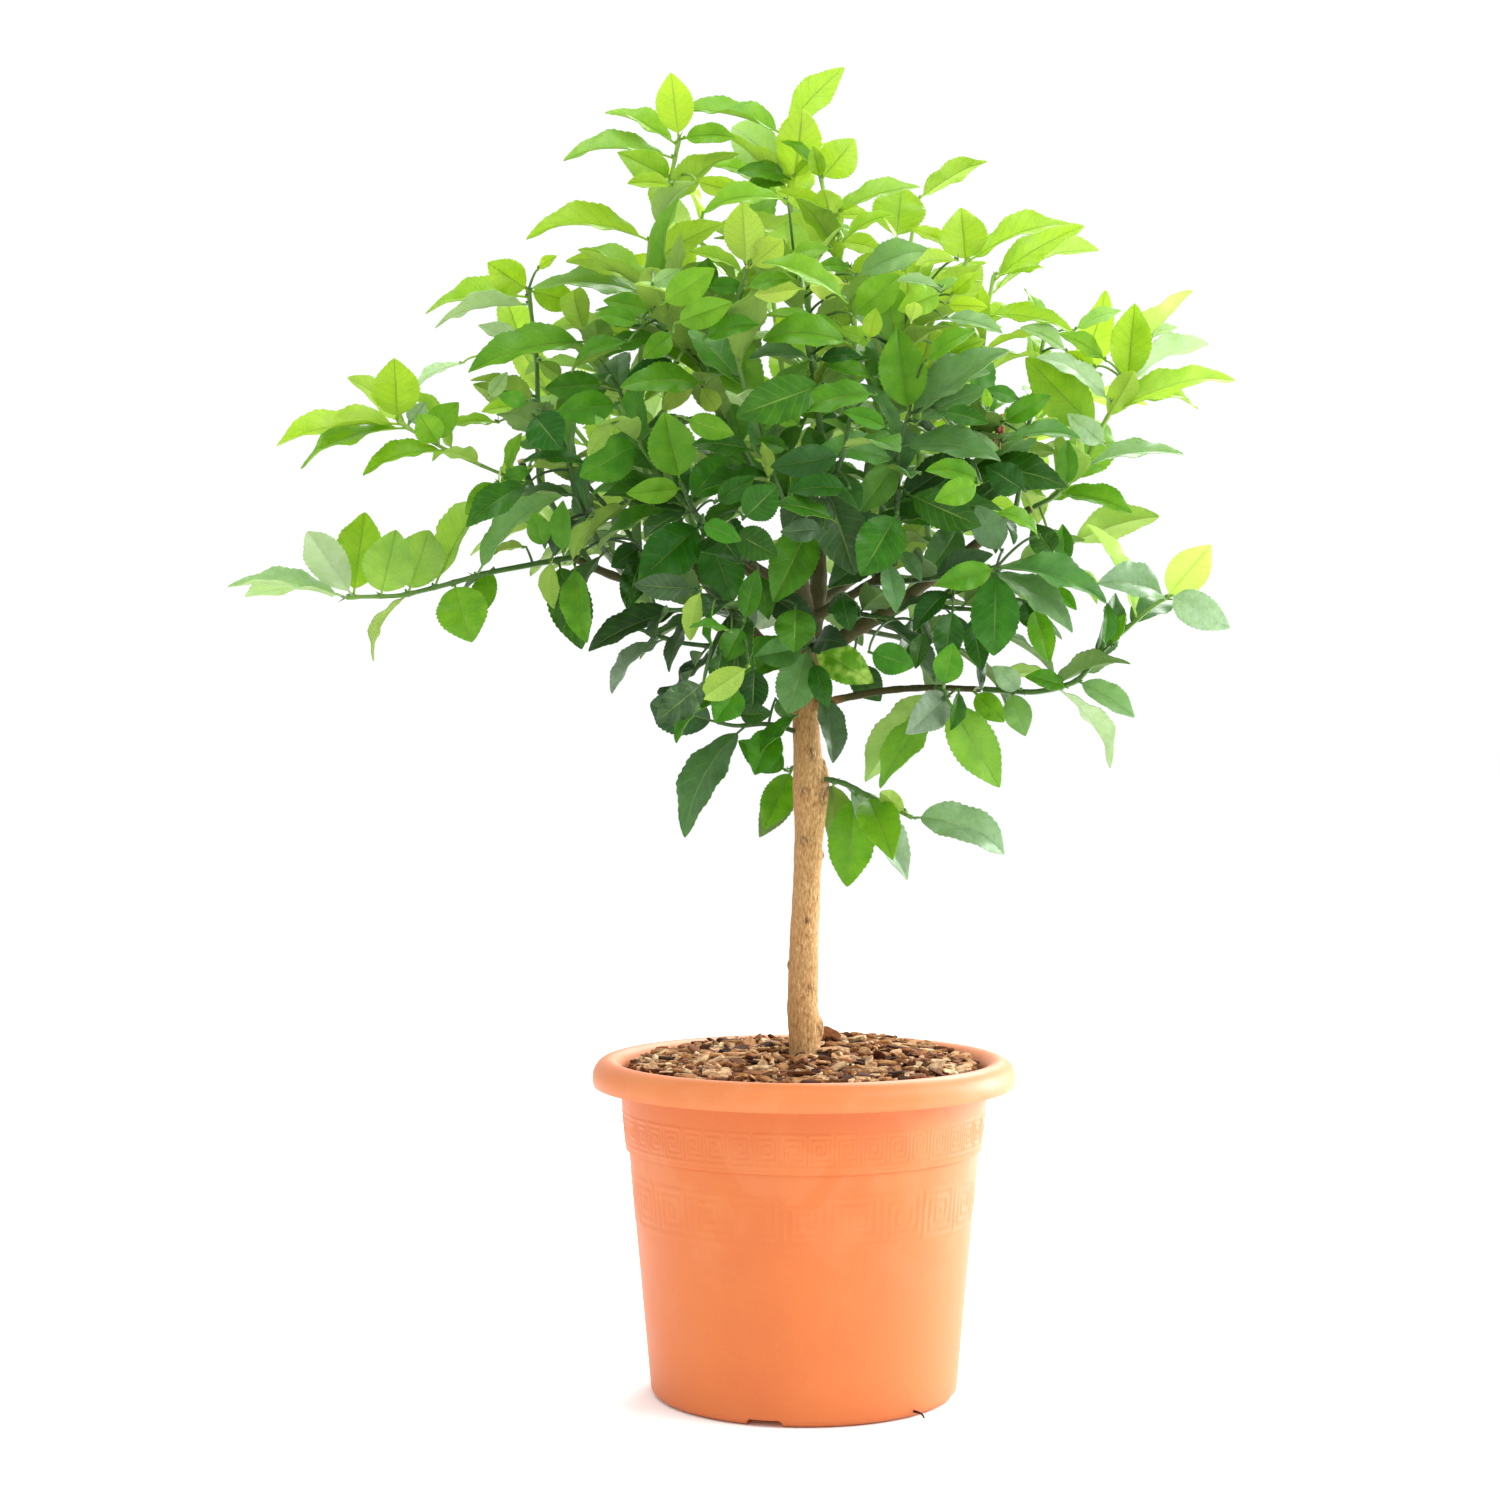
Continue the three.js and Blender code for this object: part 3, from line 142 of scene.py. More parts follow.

# Leafy shoots: what each grows from, how many leaves it has by the rule, how long they are and their
# tone. Rows of 3 numbers are its route: where it shows, and its depth. Longer rows are leaves placed one
# by one: base x and z, tip x and z, width shown, 1 where the upper side shows and -1 where the back
# does, and arch in degrees. Some go on with their age, painted sheen and yellow in hundredths.
SHOOTS = read_stems("""
crown_left limb_left 3 82 light
 -128 738 -28, -142 820 -34, -140 880 -32, -135 950 -28, -131 990 -26, -120 1010 -24, -107 1072 -20
 -106 1071 -114 1129 33 1 15, -110 1068 -168 1100 15 1 30, -111 1060 -207 1065 14 1 40,
 -113 1037 -158 1060 30 1 30, -130 993 -240 1001 20 1 50, -120 1008 -60 1068 22 -1 35,
 -136 962 -70 1003 25 1 35, -137 955 -203 975 20 1 40, -137 948 -233 952 18 1 40, -139 905 -225 916 22 1 35
crown_top limb_leader 4 84 light
 14 826 4, 10 860 4, 8 890 2, 3 935 0, -7 990 0, -12 1030 0, -16 1080 2
 -16 1080 33 1135 28 1 25, -16 1080 -105 1102 16 1 45, -12 1045 -62 1082 38 1 35
crown_mid_right limb_leader 3 80 light
 8 780 8, 34 850 -28, 45 905 -38, 33 960 -40, 20 1010 -36, 15 1037 -34
 15 1037 44 1072 34 1 25, 20 1010 -22 1028 20 1 25, 20 1010 98 1036 16 1 35, 28 975 -70 1005 24 1 40
crown_mid_left limb_leader 6 82 mid
 8 745 10, -36 812 26, -56 875 30, -50 930 28, -46 975 26
crown_inner_left limb_leader 6 84 mid
 8 735 10, -40 785 -40, -62 820 -58, -85 875 -72, -113 915 -80, -130 942 -84
crown_inner_right limb_right 5 80 mid
 60 661 13, 67 740 2, 67 800 -12, 65 880 -20, 72 935 -22, 79 985 -22
 79 983 84 1031 46 1 20
crown_right limb_right 4 80 light
 112 697 22, 100 780 4, 96 850 -8, 101 900 -16, 118 930 -20, 142 970 -22
 140 967 135 1013 44 1 15, 142 970 228 1008 20 1 35, 110 915 58 962 26 1 40
crown_right_outer limb_right 4 76 light
 152 728 20, 152 800 34, 150 870 38, 156 920 36, 163 955 34
 163 955 238 1001 24 1 30, 163 955 206 966 14 1 30, 157 925 233 912 16 1 40, 160 940 247 989 12 -1 30
crown_back limb_back 8 84 light
 -13 718 106, -12 820 128, -22 900 116, -30 965 104, -36 1030 92
crown_back_left limb_back_left 8 84 light
 -90 731 127, -122 810 142, -116 880 136, -100 950 126, -86 1010 118
crown_back_right limb_back_right 6 84 light
 62 709 104, 86 800 118, 80 880 108, 86 950 98, 98 1020 88
 98 1020 155 1058 20 -1 25
left_upright limb_left_low 4 80 mid
 -180 706 -3, -227 775 -14, -228 845 -18, -229 885 -20, -236 942 -22
 -236 942 -271 966 32 1 25 30 0 0, -236 940 -327 932 20 1 35 40 0 0, -235 938 -320 920 14 -1 30 40 80 0,
 -236 940 -194 932 26 1 25 35 0 0, -229 885 -277 915 16 -1 25 50 90 0
left_mid crown_left 3 82 mid
 -140 815 -34, -160 862 -50, -187 903 -56, -205 926 -58
 -187 903 -290 880 28 1 35 55 0 0
left_spray left_upright 2 78 light
 -227 768 -14, -260 785 -26, -300 802 -34, -330 818 -38, -348 830 -40
 -346 829 -351 884 42 1 20 2 0 12, -348 830 -453 817 18 1 35 10 0 0, -343 826 -437 801 14 1 40 30 0 0,
 -307 805 -381 792 16 1 35 30 0 0, -340 824 -387 871 20 -1 30 20 0 0, -326 816 -296 846 26 1 30 30 0 0,
 -300 802 -335 862 14 -1 30 20 0 0
left_low_spray limb_left_low 2 78 mid
 -197 713 -4, -232 707 -22, -270 700 -34, -305 690 -42, -345 680 -48, -392 679 -52
 -388 680 -493 697 12 1 25 40 50 0, -391 679 -478 686 10 -1 30 30 50 0, -388 680 -426 736 36 -1 25 45 85 0,
 -386 680 -376 752 41 1 20 12 0 0, -362 680 -349 737 46 1 45 16 16 0, -338 681 -320 738 42 1 35 12 20 0,
 -318 688 -265 775 27 1 30 12 14 0, -283 697 -212 778 24 1 35 45 30 0, -300 691 -285 640 44 1 45 35 0 0,
 -205 711 -190 634 38 1 40 75 0 0
left_back limb_back_left 8 80 light
 -104 740 134, -160 778 158, -205 835 156, -240 880 150
left_back_low limb_back_left 7 80 mid
 -74 718 119, -134 704 140, -200 735 148, -262 750 144
left_inner limb_left 6 82 dark
 -85 695 -20, -118 770 30, -150 830 62, -178 880 80
left_front limb_front_left 5 84 mid
 -68 724 -116, -112 770 -136, -138 806 -146, -158 845 -150
 -140 810 -192 782 36 1 30 45 0 0, -158 845 -212 838 28 1 30 50 0 0
left_front_low limb_front_left 2 80 dark
 -45 708 -99, -74 732 -134, -88 741 -148, -106 778 -160
 -105 776 -120 838 42 1 20 30 0 0, -88 741 -142 692 45 1 30 68 0 0, -82 737 -60 674 40 1 35 72 0 0,
 -104 772 -152 768 22 1 30 25 0 0, -98 760 -66 800 30 1 30 58 0 0
right_spray limb_right 4 82 light
 195 755 14, 214 764 0, 240 790 -14, 250 815 -18, 262 836 -20, 277 862 -22
 277 862 284 931 38 1 15 20 0 0, 275 860 328 945 16 -1 25 0 20 20, 252 822 190 885 42 1 30 26 0 0,
 264 840 368 877 22 1 35 18 10 0, 273 855 341 848 16 1 30 20 0 0, 277 862 343 902 18 -1 30 40 80 0,
 243 797 326 807 14 1 40 50 60 0, 220 768 283 756 20 1 30 50 0 0
right_upper limb_right 6 82 mid
 180 746 16, 190 800 44, 196 850 60, 206 900 66
right_low_spray limb_right_low 3 76 mid
 152 600 -42, 200 597 -56, 235 606 -62, 255 632 -64, 272 648 -66, 300 672 -68, 315 681 -70
 308 678 349 724 35 1 20 0 0 100, 288 662 249 745 14 1 25 2 0 70, 312 680 253 692 28 1 45 60 50 0,
 315 681 366 652 30 1 80 55 85 0, 235 606 286 577 22 1 35 50 40 0, 224 603 272 538 14 -1 40 45 95 0,
 176 599 190 560 24 1 30 50 30 0
right_hanging limb_right_low 1 80 mid
 112 602 -36, 124 598 -62, 122 592 -84
 122 594 168 516 40 1 25 32 10 0, 116 598 62 518 26 1 30 35 10 0, 113 600 50 524 34 -1 30 40 10 0
right_front limb_front_right 4 84 dark
 78 704 -104, 80 760 -132, 80 802 -144, 90 836 -150
 90 834 80 910 42 1 20 40 0 0, 88 830 172 897 26 1 35 60 30 0, 84 812 170 803 24 1 50 60 20 0,
 80 795 48 752 28 1 30 55 10 0, 80 800 10 808 24 1 30 50 10 0
right_front_low limb_front_right 3 80 dark
 56 690 -89, 104 694 -132, 142 700 -152, 165 704 -160
 163 704 113 690 24 1 30 45 0 0, 165 704 163 627 40 1 30 60 0 0, 165 704 263 683 22 1 40 60 10 0,
 164 704 236 655 22 1 35 60 25 0
right_mid limb_right 5 84 dark
 130 711 21, 136 760 -50, 140 800 -84, 160 850 -100
 139 796 228 780 28 1 30, 138 778 78 745 44 1 30
right_back limb_back_right 8 80 light
 82 722 118, 140 762 146, 190 820 148, 236 866 144
right_back_low limb_back_right 7 80 mid
 50 700 96, 112 692 136, 176 706 154, 232 726 156
front_low limb_front 1 74 dark
 5 648 -36, 10 640 -78, 2 636 -104
 2 636 -42 628 27 1 30 60 10 0, 4 636 -14 578 36 1 30 65 15 0, 8 638 60 606 32 1 30 40 0 42,
 10 640 -94 586 36 1 30 60 0 0
front_mid limb_front 3 82 dark
 4 738 -128, 18 768 -166, 34 800 -190, 40 836 -204
 20 770 44 698 44 1 30, 4 742 -26 674 40 1 30 60 0 0, 34 800 -28 790 28 1 30
front_left_high limb_front 8 84 mid
 0 720 -113, -28 790 -160, -48 850 -176, -62 905 -180
front_high limb_front 8 84 mid
 3 730 -121, 16 810 -120, 6 880 -118, -6 945 -112
front_right_high limb_front_right 8 84 mid
 60 694 -93, 52 780 -110, 70 860 -116, 92 925 -116
back_low limb_back 7 82 dark
 -10 680 66, 2 690 130, 8 700 190, 6 724 240
back_mid limb_back 8 84 mid
 -8 745 130, 0 786 176, 10 840 206, 14 890 216
back_left_mid limb_back_left 8 82 mid
 -50 704 104, -92 742 176, -132 800 214, -136 850 230
back_right_mid limb_back_right 8 82 mid
 36 690 82, 70 726 158, 120 796 208, 126 850 224
left_middle limb_left_low 7 80 dark
 -120 686 -4, -150 735 40, -186 776 66, -214 820 76
left_near limb_left_low 7 80 dark
 -150 692 -1, -176 726 -70, -196 770 -96, -206 812 -104
front_low_left limb_front_left 5 78 dark
 -20 692 -82, -34 672 -118, -62 664 -146
front_low_right limb_front_right 5 78 dark
 30 674 -68, 50 664 -108, 78 660 -138
under_left limb_left 5 78 dark
 -60 664 -14, -84 668 -60, -120 668 -96
under_right limb_right 5 78 dark
 90 680 18, 120 670 -40, 152 668 -70
inner_right limb_right 5 76 dark
 45 652 10, 84 644 26, 124 640 44, 166 652 58
inner_left limb_left 5 76 dark
 -28 633 -6, -72 636 -34, -108 640 -58, -142 652 -74
low_left_twig trunk 0 70 dark
 0 561 0, -30 571 -14, -60 568 -22, -74 572 -26
 -58 568 -110 477 32 1 60 76 12 0, -74 572 -134 588 40 1 60 90 10 0, -24 569 -42 527 32 1 30 55 0 0
low_back_twig trunk 1 66 mid
 2 534 0, -8 534 36, -12 530 62
 -10 532 -34 480 30 1 30 45 0 0
low_right_twig trunk 0 70 mid
 10 527 0, 35 520 -16, 60 506 -26, 93 490 -32
 38 518 92 440 30 1 30 65 75 0, 46 514 37 430 40 1 25 38 0 0, 54 509 76 456 36 1 30 42 0 0,
 28 522 24 462 28 -1 30 65 0 0, 93 490 178 466 34 1 80 60 55 0
""", "leaves", "size")

# Leaves between those of the CAD part, from the back to the front: base and tip as they show, width
# (below zero where the underside shows), bend in degrees, age and painted sheen in hundredths
MORE_LEAVES = rows(
    # top of the crown
    """
 -113 1032 -151 1034 14 40 10 0, -92 1036 -58 1026 17 40 10 0, -104 1072 -58 1074 19 50 20 0,
 -30 1030 -79 1050 13 50 35 0, -8 1040 8 1056 12 30 5 0, -12 1034 -50 1034 13 40 50 0,
 -12 1038 -57 1044 16 50 60 0, 12 1044 -18 1072 9 30 30 0, 14 1038 8 1066 16 40 15 0,
 30 1010 52 1010 10 30 15 0, 28 1006 60 1004 10 40 15 0, 34 984 77 1007 11 50 35 0,
 28 984 70 975 16 40 20 0, -46 962 -18 985 -26 30 10 0, -49 962 -53 1018 -34 30 10 0,
 -14 1019 -87 1011 16 50 45 0, 24 978 -12 972 13 40 40 0, 38 948 4 944 -22 30 10 0,
 0 944 -42 938 -18 30 15 0, 40 962 11 962 12 50 50 0, -50 956 -98 975 12 40 35 0,
 -84 944 -82 970 20 40 80 0, -82 946 -50 946 16 40 70 0, -50 944 -10 952 13 40 60 0,
 -122 930 -76 961 26 40 50 0, -110 914 -61 932 25 50 45 0, -130 946 -106 960 14 30 50 50,
 37 932 -36 966 17 50 50 0, 42 898 -35 922 10 30 55 0, 40 896 -37 902 26 60 50 0,
 44 954 110 979 25 40 60 30, 42 920 83 956 30 40 45 0, 54 900 30 910 12 30 30 0, 56 900 62 927 16 30 30 0,
 132 968 94 965 -13 40 15 0, 126 980 92 994 12 40 15 0, 118 944 80 950 9 30 50 50,
 117 940 81 925 24 60 40 0, 126 938 150 958 14 40 35 0, 122 930 158 928 16 40 20 0,
 120 918 170 905 13 40 65 40, 92 915 96 932 -14 30 15 0, 122 886 156 900 16 40 35 0,
 104 880 147 909 16 40 50 0, 106 872 138 885 14 40 60 60, 110 862 160 872 14 30 65 40,
 96 828 160 858 22 40 70 20, 118 838 158 828 16 40 80 0, 60 866 16 878 13 40 55 0, 12 882 49 887 12 40 95 0,
 8 882 -48 886 13 40 75 20, -4 826 -24 846 20 30 40 0, 18 862 -60 834 36 60 75 0, 62 853 -5 838 24 50 65 0,
 72 824 34 838 16 40 55 0, -108 880 -152 868 20 40 95 0, -92 862 -122 840 -16 30 30 0,
 -88 860 -74 838 -18 30 20 0, -84 862 -158 860 24 40 60 0, -86 900 -38 914 18 50 65 0,
 -124 903 -172 886 16 50 75 0, -112 905 -138 884 20 40 55 0, -130 924 -172 934 18 40 60 0,
 -140 914 -178 922 16 40 60 0,
    """
    # left side
    """
 -228 960 -212 972 9 40 10 0, -292 880 -334 861 9 30 50 90, -270 850 -254 872 14 30 30 60,
 -262 829 -305 827 10 30 15 0, -246 843 -276 838 12 40 25 0, -236 846 -262 852 14 40 55 0,
 -228 882 -208 868 -16 40 45 0, -232 836 -208 806 34 40 85 0, -254 786 -242 820 12 30 25 0,
 -236 790 -192 792 -12 40 50 0, -240 795 -188 793 13 50 70 0, -258 780 -232 790 14 40 50 0,
 -262 778 -290 750 22 40 40 0, -234 778 -290 740 26 40 70 0, -222 722 -232 752 20 30 60 0,
 -206 716 -206 762 18 30 60 0, -238 722 -266 716 -8 60 50 0, -266 704 -284 660 22 30 45 0,
 -216 712 -216 668 -16 30 45 0, -196 708 -186 640 26 30 50 0, -338 828 -324 846 18 30 45 80,
 -313 811 -330 836 26 40 30 0, -150 760 -192 722 -14 40 50 0, -180 748 -198 712 -14 40 35 0,
 -160 828 -186 800 -14 40 40 0, -158 892 -202 874 -12 40 45 0, -150 898 -196 884 14 40 70 0,
 -170 862 -222 858 26 40 70 0,
    """
    # right side
    """
 296 902 321 911 8 30 40 90, 232 908 272 925 14 40 55 40, 259 882 219 905 16 40 40 0,
 226 889 186 911 15 40 50 60, 250 876 226 890 14 30 20 0, 263 846 200 889 17 40 50 80,
 258 810 226 836 22 40 55 70, 190 815 218 832 -14 30 20 0, 170 828 212 852 20 40 60 0,
 171 811 238 817 13 50 60 10, 226 774 226 814 19 40 70 0, 216 772 188 796 22 40 55 0,
 190 770 156 792 28 40 90 0, 120 815 168 806 22 50 60 40, 184 848 157 858 13 40 75 0,
 158 840 156 858 9 30 30 0, 204 760 249 771 10 30 35 0, 224 706 222 742 18 40 65 0,
 214 716 196 742 26 40 85 0, 170 718 148 758 28 40 70 30, 201 731 165 752 12 80 35 0,
 212 688 234 668 14 40 45 0, 188 676 200 650 20 30 85 0, 197 672 211 623 23 30 50 0,
 168 700 194 678 14 30 65 50, 264 638 276 665 12 40 45 0, 257 637 261 674 13 40 60 0,
 168 612 214 612 -12 40 30 30, 226 602 190 612 16 40 55 0, 186 600 162 620 20 60 50 60,
    """
    # middle and underneath
    """
 126 686 94 650 18 40 95 0, 102 650 96 618 16 30 90 0, 128 670 120 620 25 30 85 0,
 144 664 153 616 22 30 85 0, 32 681 40 650 21 40 90 0, 81 720 101 693 14 40 60 30,
 70 711 80 666 19 30 60 20, 88 768 152 740 32 35 85 0, 152 778 104 789 18 60 55 0,
 150 776 112 762 22 50 40 0, 18 738 -20 735 19 30 95 10, 40 772 -14 770 20 40 80 0,
 28 744 -26 758 14 50 75 0, 81 752 49 697 40 35 70 0, 12 800 4 825 20 30 70 0, -14 806 -40 815 15 40 60 0,
 -30 780 -36 812 -10 30 30 0, -104 758 -172 768 16 40 80 0, -44 805 -96 811 19 40 80 0,
 -101 832 -59 818 20 60 45 0, -76 760 -42 783 20 40 75 0, -52 746 -22 775 30 40 75 0,
 -60 735 -22 714 28 30 85 0, -38 700 -30 660 20 30 75 0, -86 743 -53 727 17 90 50 0,
 -140 722 -165 705 22 60 95 0, -140 714 -152 669 24 60 95 0, -92 686 -146 690 23 30 100 10,
 -88 686 -97 642 -16 40 35 0, -78 672 -81 638 6 20 70 0, -62 650 -98 654 7 40 60 0,
 -51 658 -40 703 19 20 65 0, -52 654 -69 624 23 30 65 0, -7 672 -8 632 34 30 65 0,
 -70 632 -76 604 16 30 90 0, -42 620 -44 578 24 30 100 0, -56 578 -27 580 18 40 100 0,
 -56 602 -76 572 28 40 50 0, -47 620 -89 592 -25 30 5 0, -86 606 -126 572 28 70 95 10,
 -90 584 -109 554 8 60 60 0, -24 592 -10 574 14 30 70 20, -14 530 -56 556 28 40 65 0,
 -6 578 -38 546 13 40 60 0, 14 598 28 537 24 30 90 20, 42 622 66 590 28 40 85 10, 56 632 95 620 26 40 60 0,
 8 624 21 584 20 40 75 0, 133 600 126 565 13 30 80 0, 120 602 128 640 24 30 50 0,
 146 598 172 572 22 40 40 0, 88 495 66 512 -17 50 30 0
    """
)

# ---- Repeatable numbers and plain geometry ----


def dice(seed):
    """A function that gives repeatable numbers from 0 to 1"""
    word = 0xFFFFFFFF
    state = seed & word

    def roll():
        nonlocal state
        state = (state + 0x6D2B79F5) & word
        mixed = state
        mixed = ((mixed ^ (mixed >> 15)) * (mixed | 1)) & word
        mixed ^= (mixed + (((mixed ^ (mixed >> 7)) * (mixed | 61)) & word)) & word
        return ((mixed ^ (mixed >> 14)) & word) / 4294967296

    return roll


def between(low, high, share):
    return low + (high - low) * share


def smooth_step(low, high, value):
    share = np.clip((value - low) / (high - low), 0, 1)
    return share * share * (3 - 2 * share)


def unit(vector):
    return vector / np.linalg.norm(vector)


def seen(x, z, depth):
    """A point in the tree, from where it shows in the plane of the stem and its depth"""
    flat = np.array((x, 0.0, z))
    return VIEW + (flat - VIEW) * (depth - VIEW[1]) / -VIEW[1]


def as_seen(points):
    """Where points show from the front, in the plane of the stem"""
    return VIEW + (points - VIEW) * (-VIEW[1] / (points[..., 1:2] - VIEW[1]))


def finely(route, step=6):
    """Points every few millimetres along a route"""
    points = []
    for start, end in zip(route, route[1:]):
        count = math.ceil(np.linalg.norm(start - end) / step)
        points += [start + (end - start) * (part / count) for part in range(count)]
    return np.array([*points, route[-1]])


def length_of(route):
    return np.linalg.norm(np.diff(route, axis=0), axis=1).sum()


def closest(points, target):
    """Which of the points is closest to the target"""
    return np.argmin(np.linalg.norm(points - target, axis=1))


# ---- Growing the tree, by the same rule as the CAD part ----

# What the repeatable numbers of each kind of thing start from
FILL_SEED = 301
STANDING_CHIP_SEED = 3999
CHIP_SEED = 4000
ADDED_SEED = 7000
DRESSING_SEED = 9000


PETIOLE = 0.1  # the stalk's share of a leaf
WAVES = 11  # how often the edge waves, in radians along the leaf
FOLDS = (0.12, 0.42)  # how far the halves of a blade are folded up, in radians
WAVE_RISE = (0.05, 0.16)  # as a share of half the width


def along_blade(share):
    """The place along a leaf without its stalk, from 0 to 1"""
    return np.clip((share - PETIOLE) / (1 - PETIOLE), 0, 1)


def blade_width(share):
    """Half the width of a leaf's blade along its length, as a share of the widest"""
    return np.sin(math.pi * along_blade(share) ** 0.88) ** 0.72


def midrib_at(leaf, share):
    """Points of the midrib and the way the leaf faces there: it bends like a bow"""
    turn = (leaf.arch * share)[..., None]
    reach = leaf.length / leaf.arch
    point = leaf.base + leaf.along * np.sin(turn) * reach + leaf.face * (np.cos(turn) - 1) * reach
    face = leaf.face * np.cos(turn) + leaf.along * np.sin(turn)
    return point, face


def blade_point(leaf, share, across):
    """Points of the blade: across runs from -1 at its left edge to 1 at its right"""
    point, face = midrib_at(leaf, share)
    half = (leaf.width / 2) * blade_width(share) * np.abs(across)
    wave = leaf.wave * np.sin(share * WAVES + leaf.phase + across) * np.abs(across)
    point = point + leaf.side * (np.sign(across) * half * math.cos(leaf.fold))[..., None]
    return point + face * (half * math.sin(leaf.fold) + wave * half)[..., None]


def leaf_of(base, tip, facing, width, arch, random):
    """A leaf from its base, tip and facing: the bow's chord runs from base to tip"""
    chord = tip - base
    straight = np.linalg.norm(chord)
    chord = chord / straight
    up = unit(facing - chord * facing.dot(chord))
    half = arch / 2
    return SimpleNamespace(
        base=base,
        arch=arch,
        width=width,
        length=straight * half / math.sin(half),
        along=chord * math.cos(half) + up * math.sin(half),
        face=up * math.cos(half) - chord * math.sin(half),
        side=np.cross(chord, up),
        fold=between(*FOLDS, random()),
        wave=between(*WAVE_RISE, random()),
        phase=random() * 6,
    )


SAMPLE_ALONG, SAMPLE_ACROSS = np.meshgrid(
    (0.3, 0.42, 0.54, 0.66, 0.78, 0.9, 1.0), (-0.9, -0.3, 0.3, 0.9), indexing="ij"
)
SAMPLE_ALONG, SAMPLE_ACROSS = SAMPLE_ALONG.ravel(), SAMPLE_ACROSS.ravel()
MIDDLE = 14  # the sample in the middle of a leaf
ATTEMPTS = 9  # to find a free place for a leaf of the rule
LEAVES_NEAR = 150  # leaves whose middles are further apart can't touch
STEMS_NEAR = 90
TRUNK_ROOM = (14, 14)  # the radii that leaves take the trunk to have
RULE_SLIMNESS = 0.93  # of the leaves of the rule, next to those placed one by one
SET_NUMBERS = 7  # in the row of a leaf placed one by one, before its looks

stems = {}
grown = SimpleNamespace(leaves=[], leaf_shoots=[], points=[], radii=[], stem_shoots=[], by_rule=[])


def gaps_between(samples, others):
    apart = samples[:, None, :] - others[None, :, :]
    return np.sqrt((apart**2).sum(axis=2))


def free_way(samples, shoot, leaf_gap=LEAF_GAP, near_gap=NEAR_GAP):
    """The least free way round a leaf, less the gap that it should keep"""
    middle = samples[MIDDLE]
    free = math.inf
    if grown.leaves:
        others = np.array(grown.leaves)
        close = np.linalg.norm(others[:, MIDDLE] - middle, axis=1) <= LEAVES_NEAR
        own = np.array([name == shoot for name in grown.leaf_shoots])
        for which, gap in ((close & own, near_gap), (close & ~own, leaf_gap)):
            if which.any():
                free = min(free, gaps_between(samples, others[which].reshape(-1, 3)).min() - gap)
    points = np.array(grown.points)
    other = np.array([name != shoot for name in grown.stem_shoots])
    close = other & (np.linalg.norm(points - middle, axis=1) <= STEMS_NEAR)
    if close.any():
        room = gaps_between(samples, points[close]) - np.array(grown.radii)[close] - STEM_GAP
        free = min(free, room.min())
    return free


def leaf_places(route):
    """Where leaves may grow on a stem: all but its first stretch"""
    return finely(route)[2:]


# How far the bow and the fold carry a blade off the line between its ends
BOW_LIFT = 1 / 12  # as a share of its length, for each radian of arch
FOLD_LIFT = 0.053  # as a share of its width

SET_SHIFTS = (-14, 10, -30, 28, -46, 44, -62, 60)  # in the depth of a leaf's tip, tried in turn


def turned_leaf(base, tip, shown, side, arch):
    """A leaf's width, the way it faces so that its outline is as wide as shown, and how far off its
    line it then stands"""
    length = np.linalg.norm(tip - base)
    width = max(shown, LEAF_RATIO * length)
    chord = unit(tip - base)
    viewer = unit(VIEW - base)
    viewer = unit(viewer - chord * viewer.dot(chord))
    edge = np.cross(chord, viewer)
    outward = unit(base - CROWN_CENTRE)
    downward = edge[2] + 0.4 * edge.dot(outward) < 0
    turn = math.acos(min(1, shown / width)) * (-1 if downward else 1)
    lift = edge * math.sin(turn) * (length * arch * BOW_LIFT + width * FOLD_LIFT)
    return width, viewer * (side * math.cos(turn)) + edge * math.sin(turn), lift


def freest_leaf(ends, form, random, shoot, *gaps):
    """The first leaf with these pairs of base and tip that stands free, or else the freest of them,
    with how free it is. Its form is the width shown, the side shown and the arch."""
    best = None
    for base, tip in ends:
        width, facing, _ = turned_leaf(base, tip, *form)
        leaf = leaf_of(base, tip, facing, width, form[-1], random)
        samples = blade_point(leaf, SAMPLE_ALONG, SAMPLE_ACROSS)
        free = free_way(samples, shoot, *gaps)
        if best is None or free > best[2]:
            best = (leaf, samples, free)
        if free > 0:
            break
    return best


def set_leaf(name, row, random):
    """A leaf placed one by one keeps its outline from the front, and moves in depth to keep clear"""
    x0, z0, x1, z1, shown, side, bend = row[:SET_NUMBERS]
    places = leaf_places(stems[name].route)
    seen_places = as_seen(places)
    target = np.array((x0, 0.0, z0))
    arch = math.radians(bend)
    first = places[closest(seen_places, target)]
    lift = turned_leaf(first, seen(x1, z1, first[1]), shown, side, arch)[2]
    base = places[closest(seen_places, target - lift)]
    ends = [(base, seen(x1 - lift[0], z1 - lift[2], base[1] + shift)) for shift in SET_SHIFTS]
    return freest_leaf(ends, (shown, side, arch), random, name)[:2]


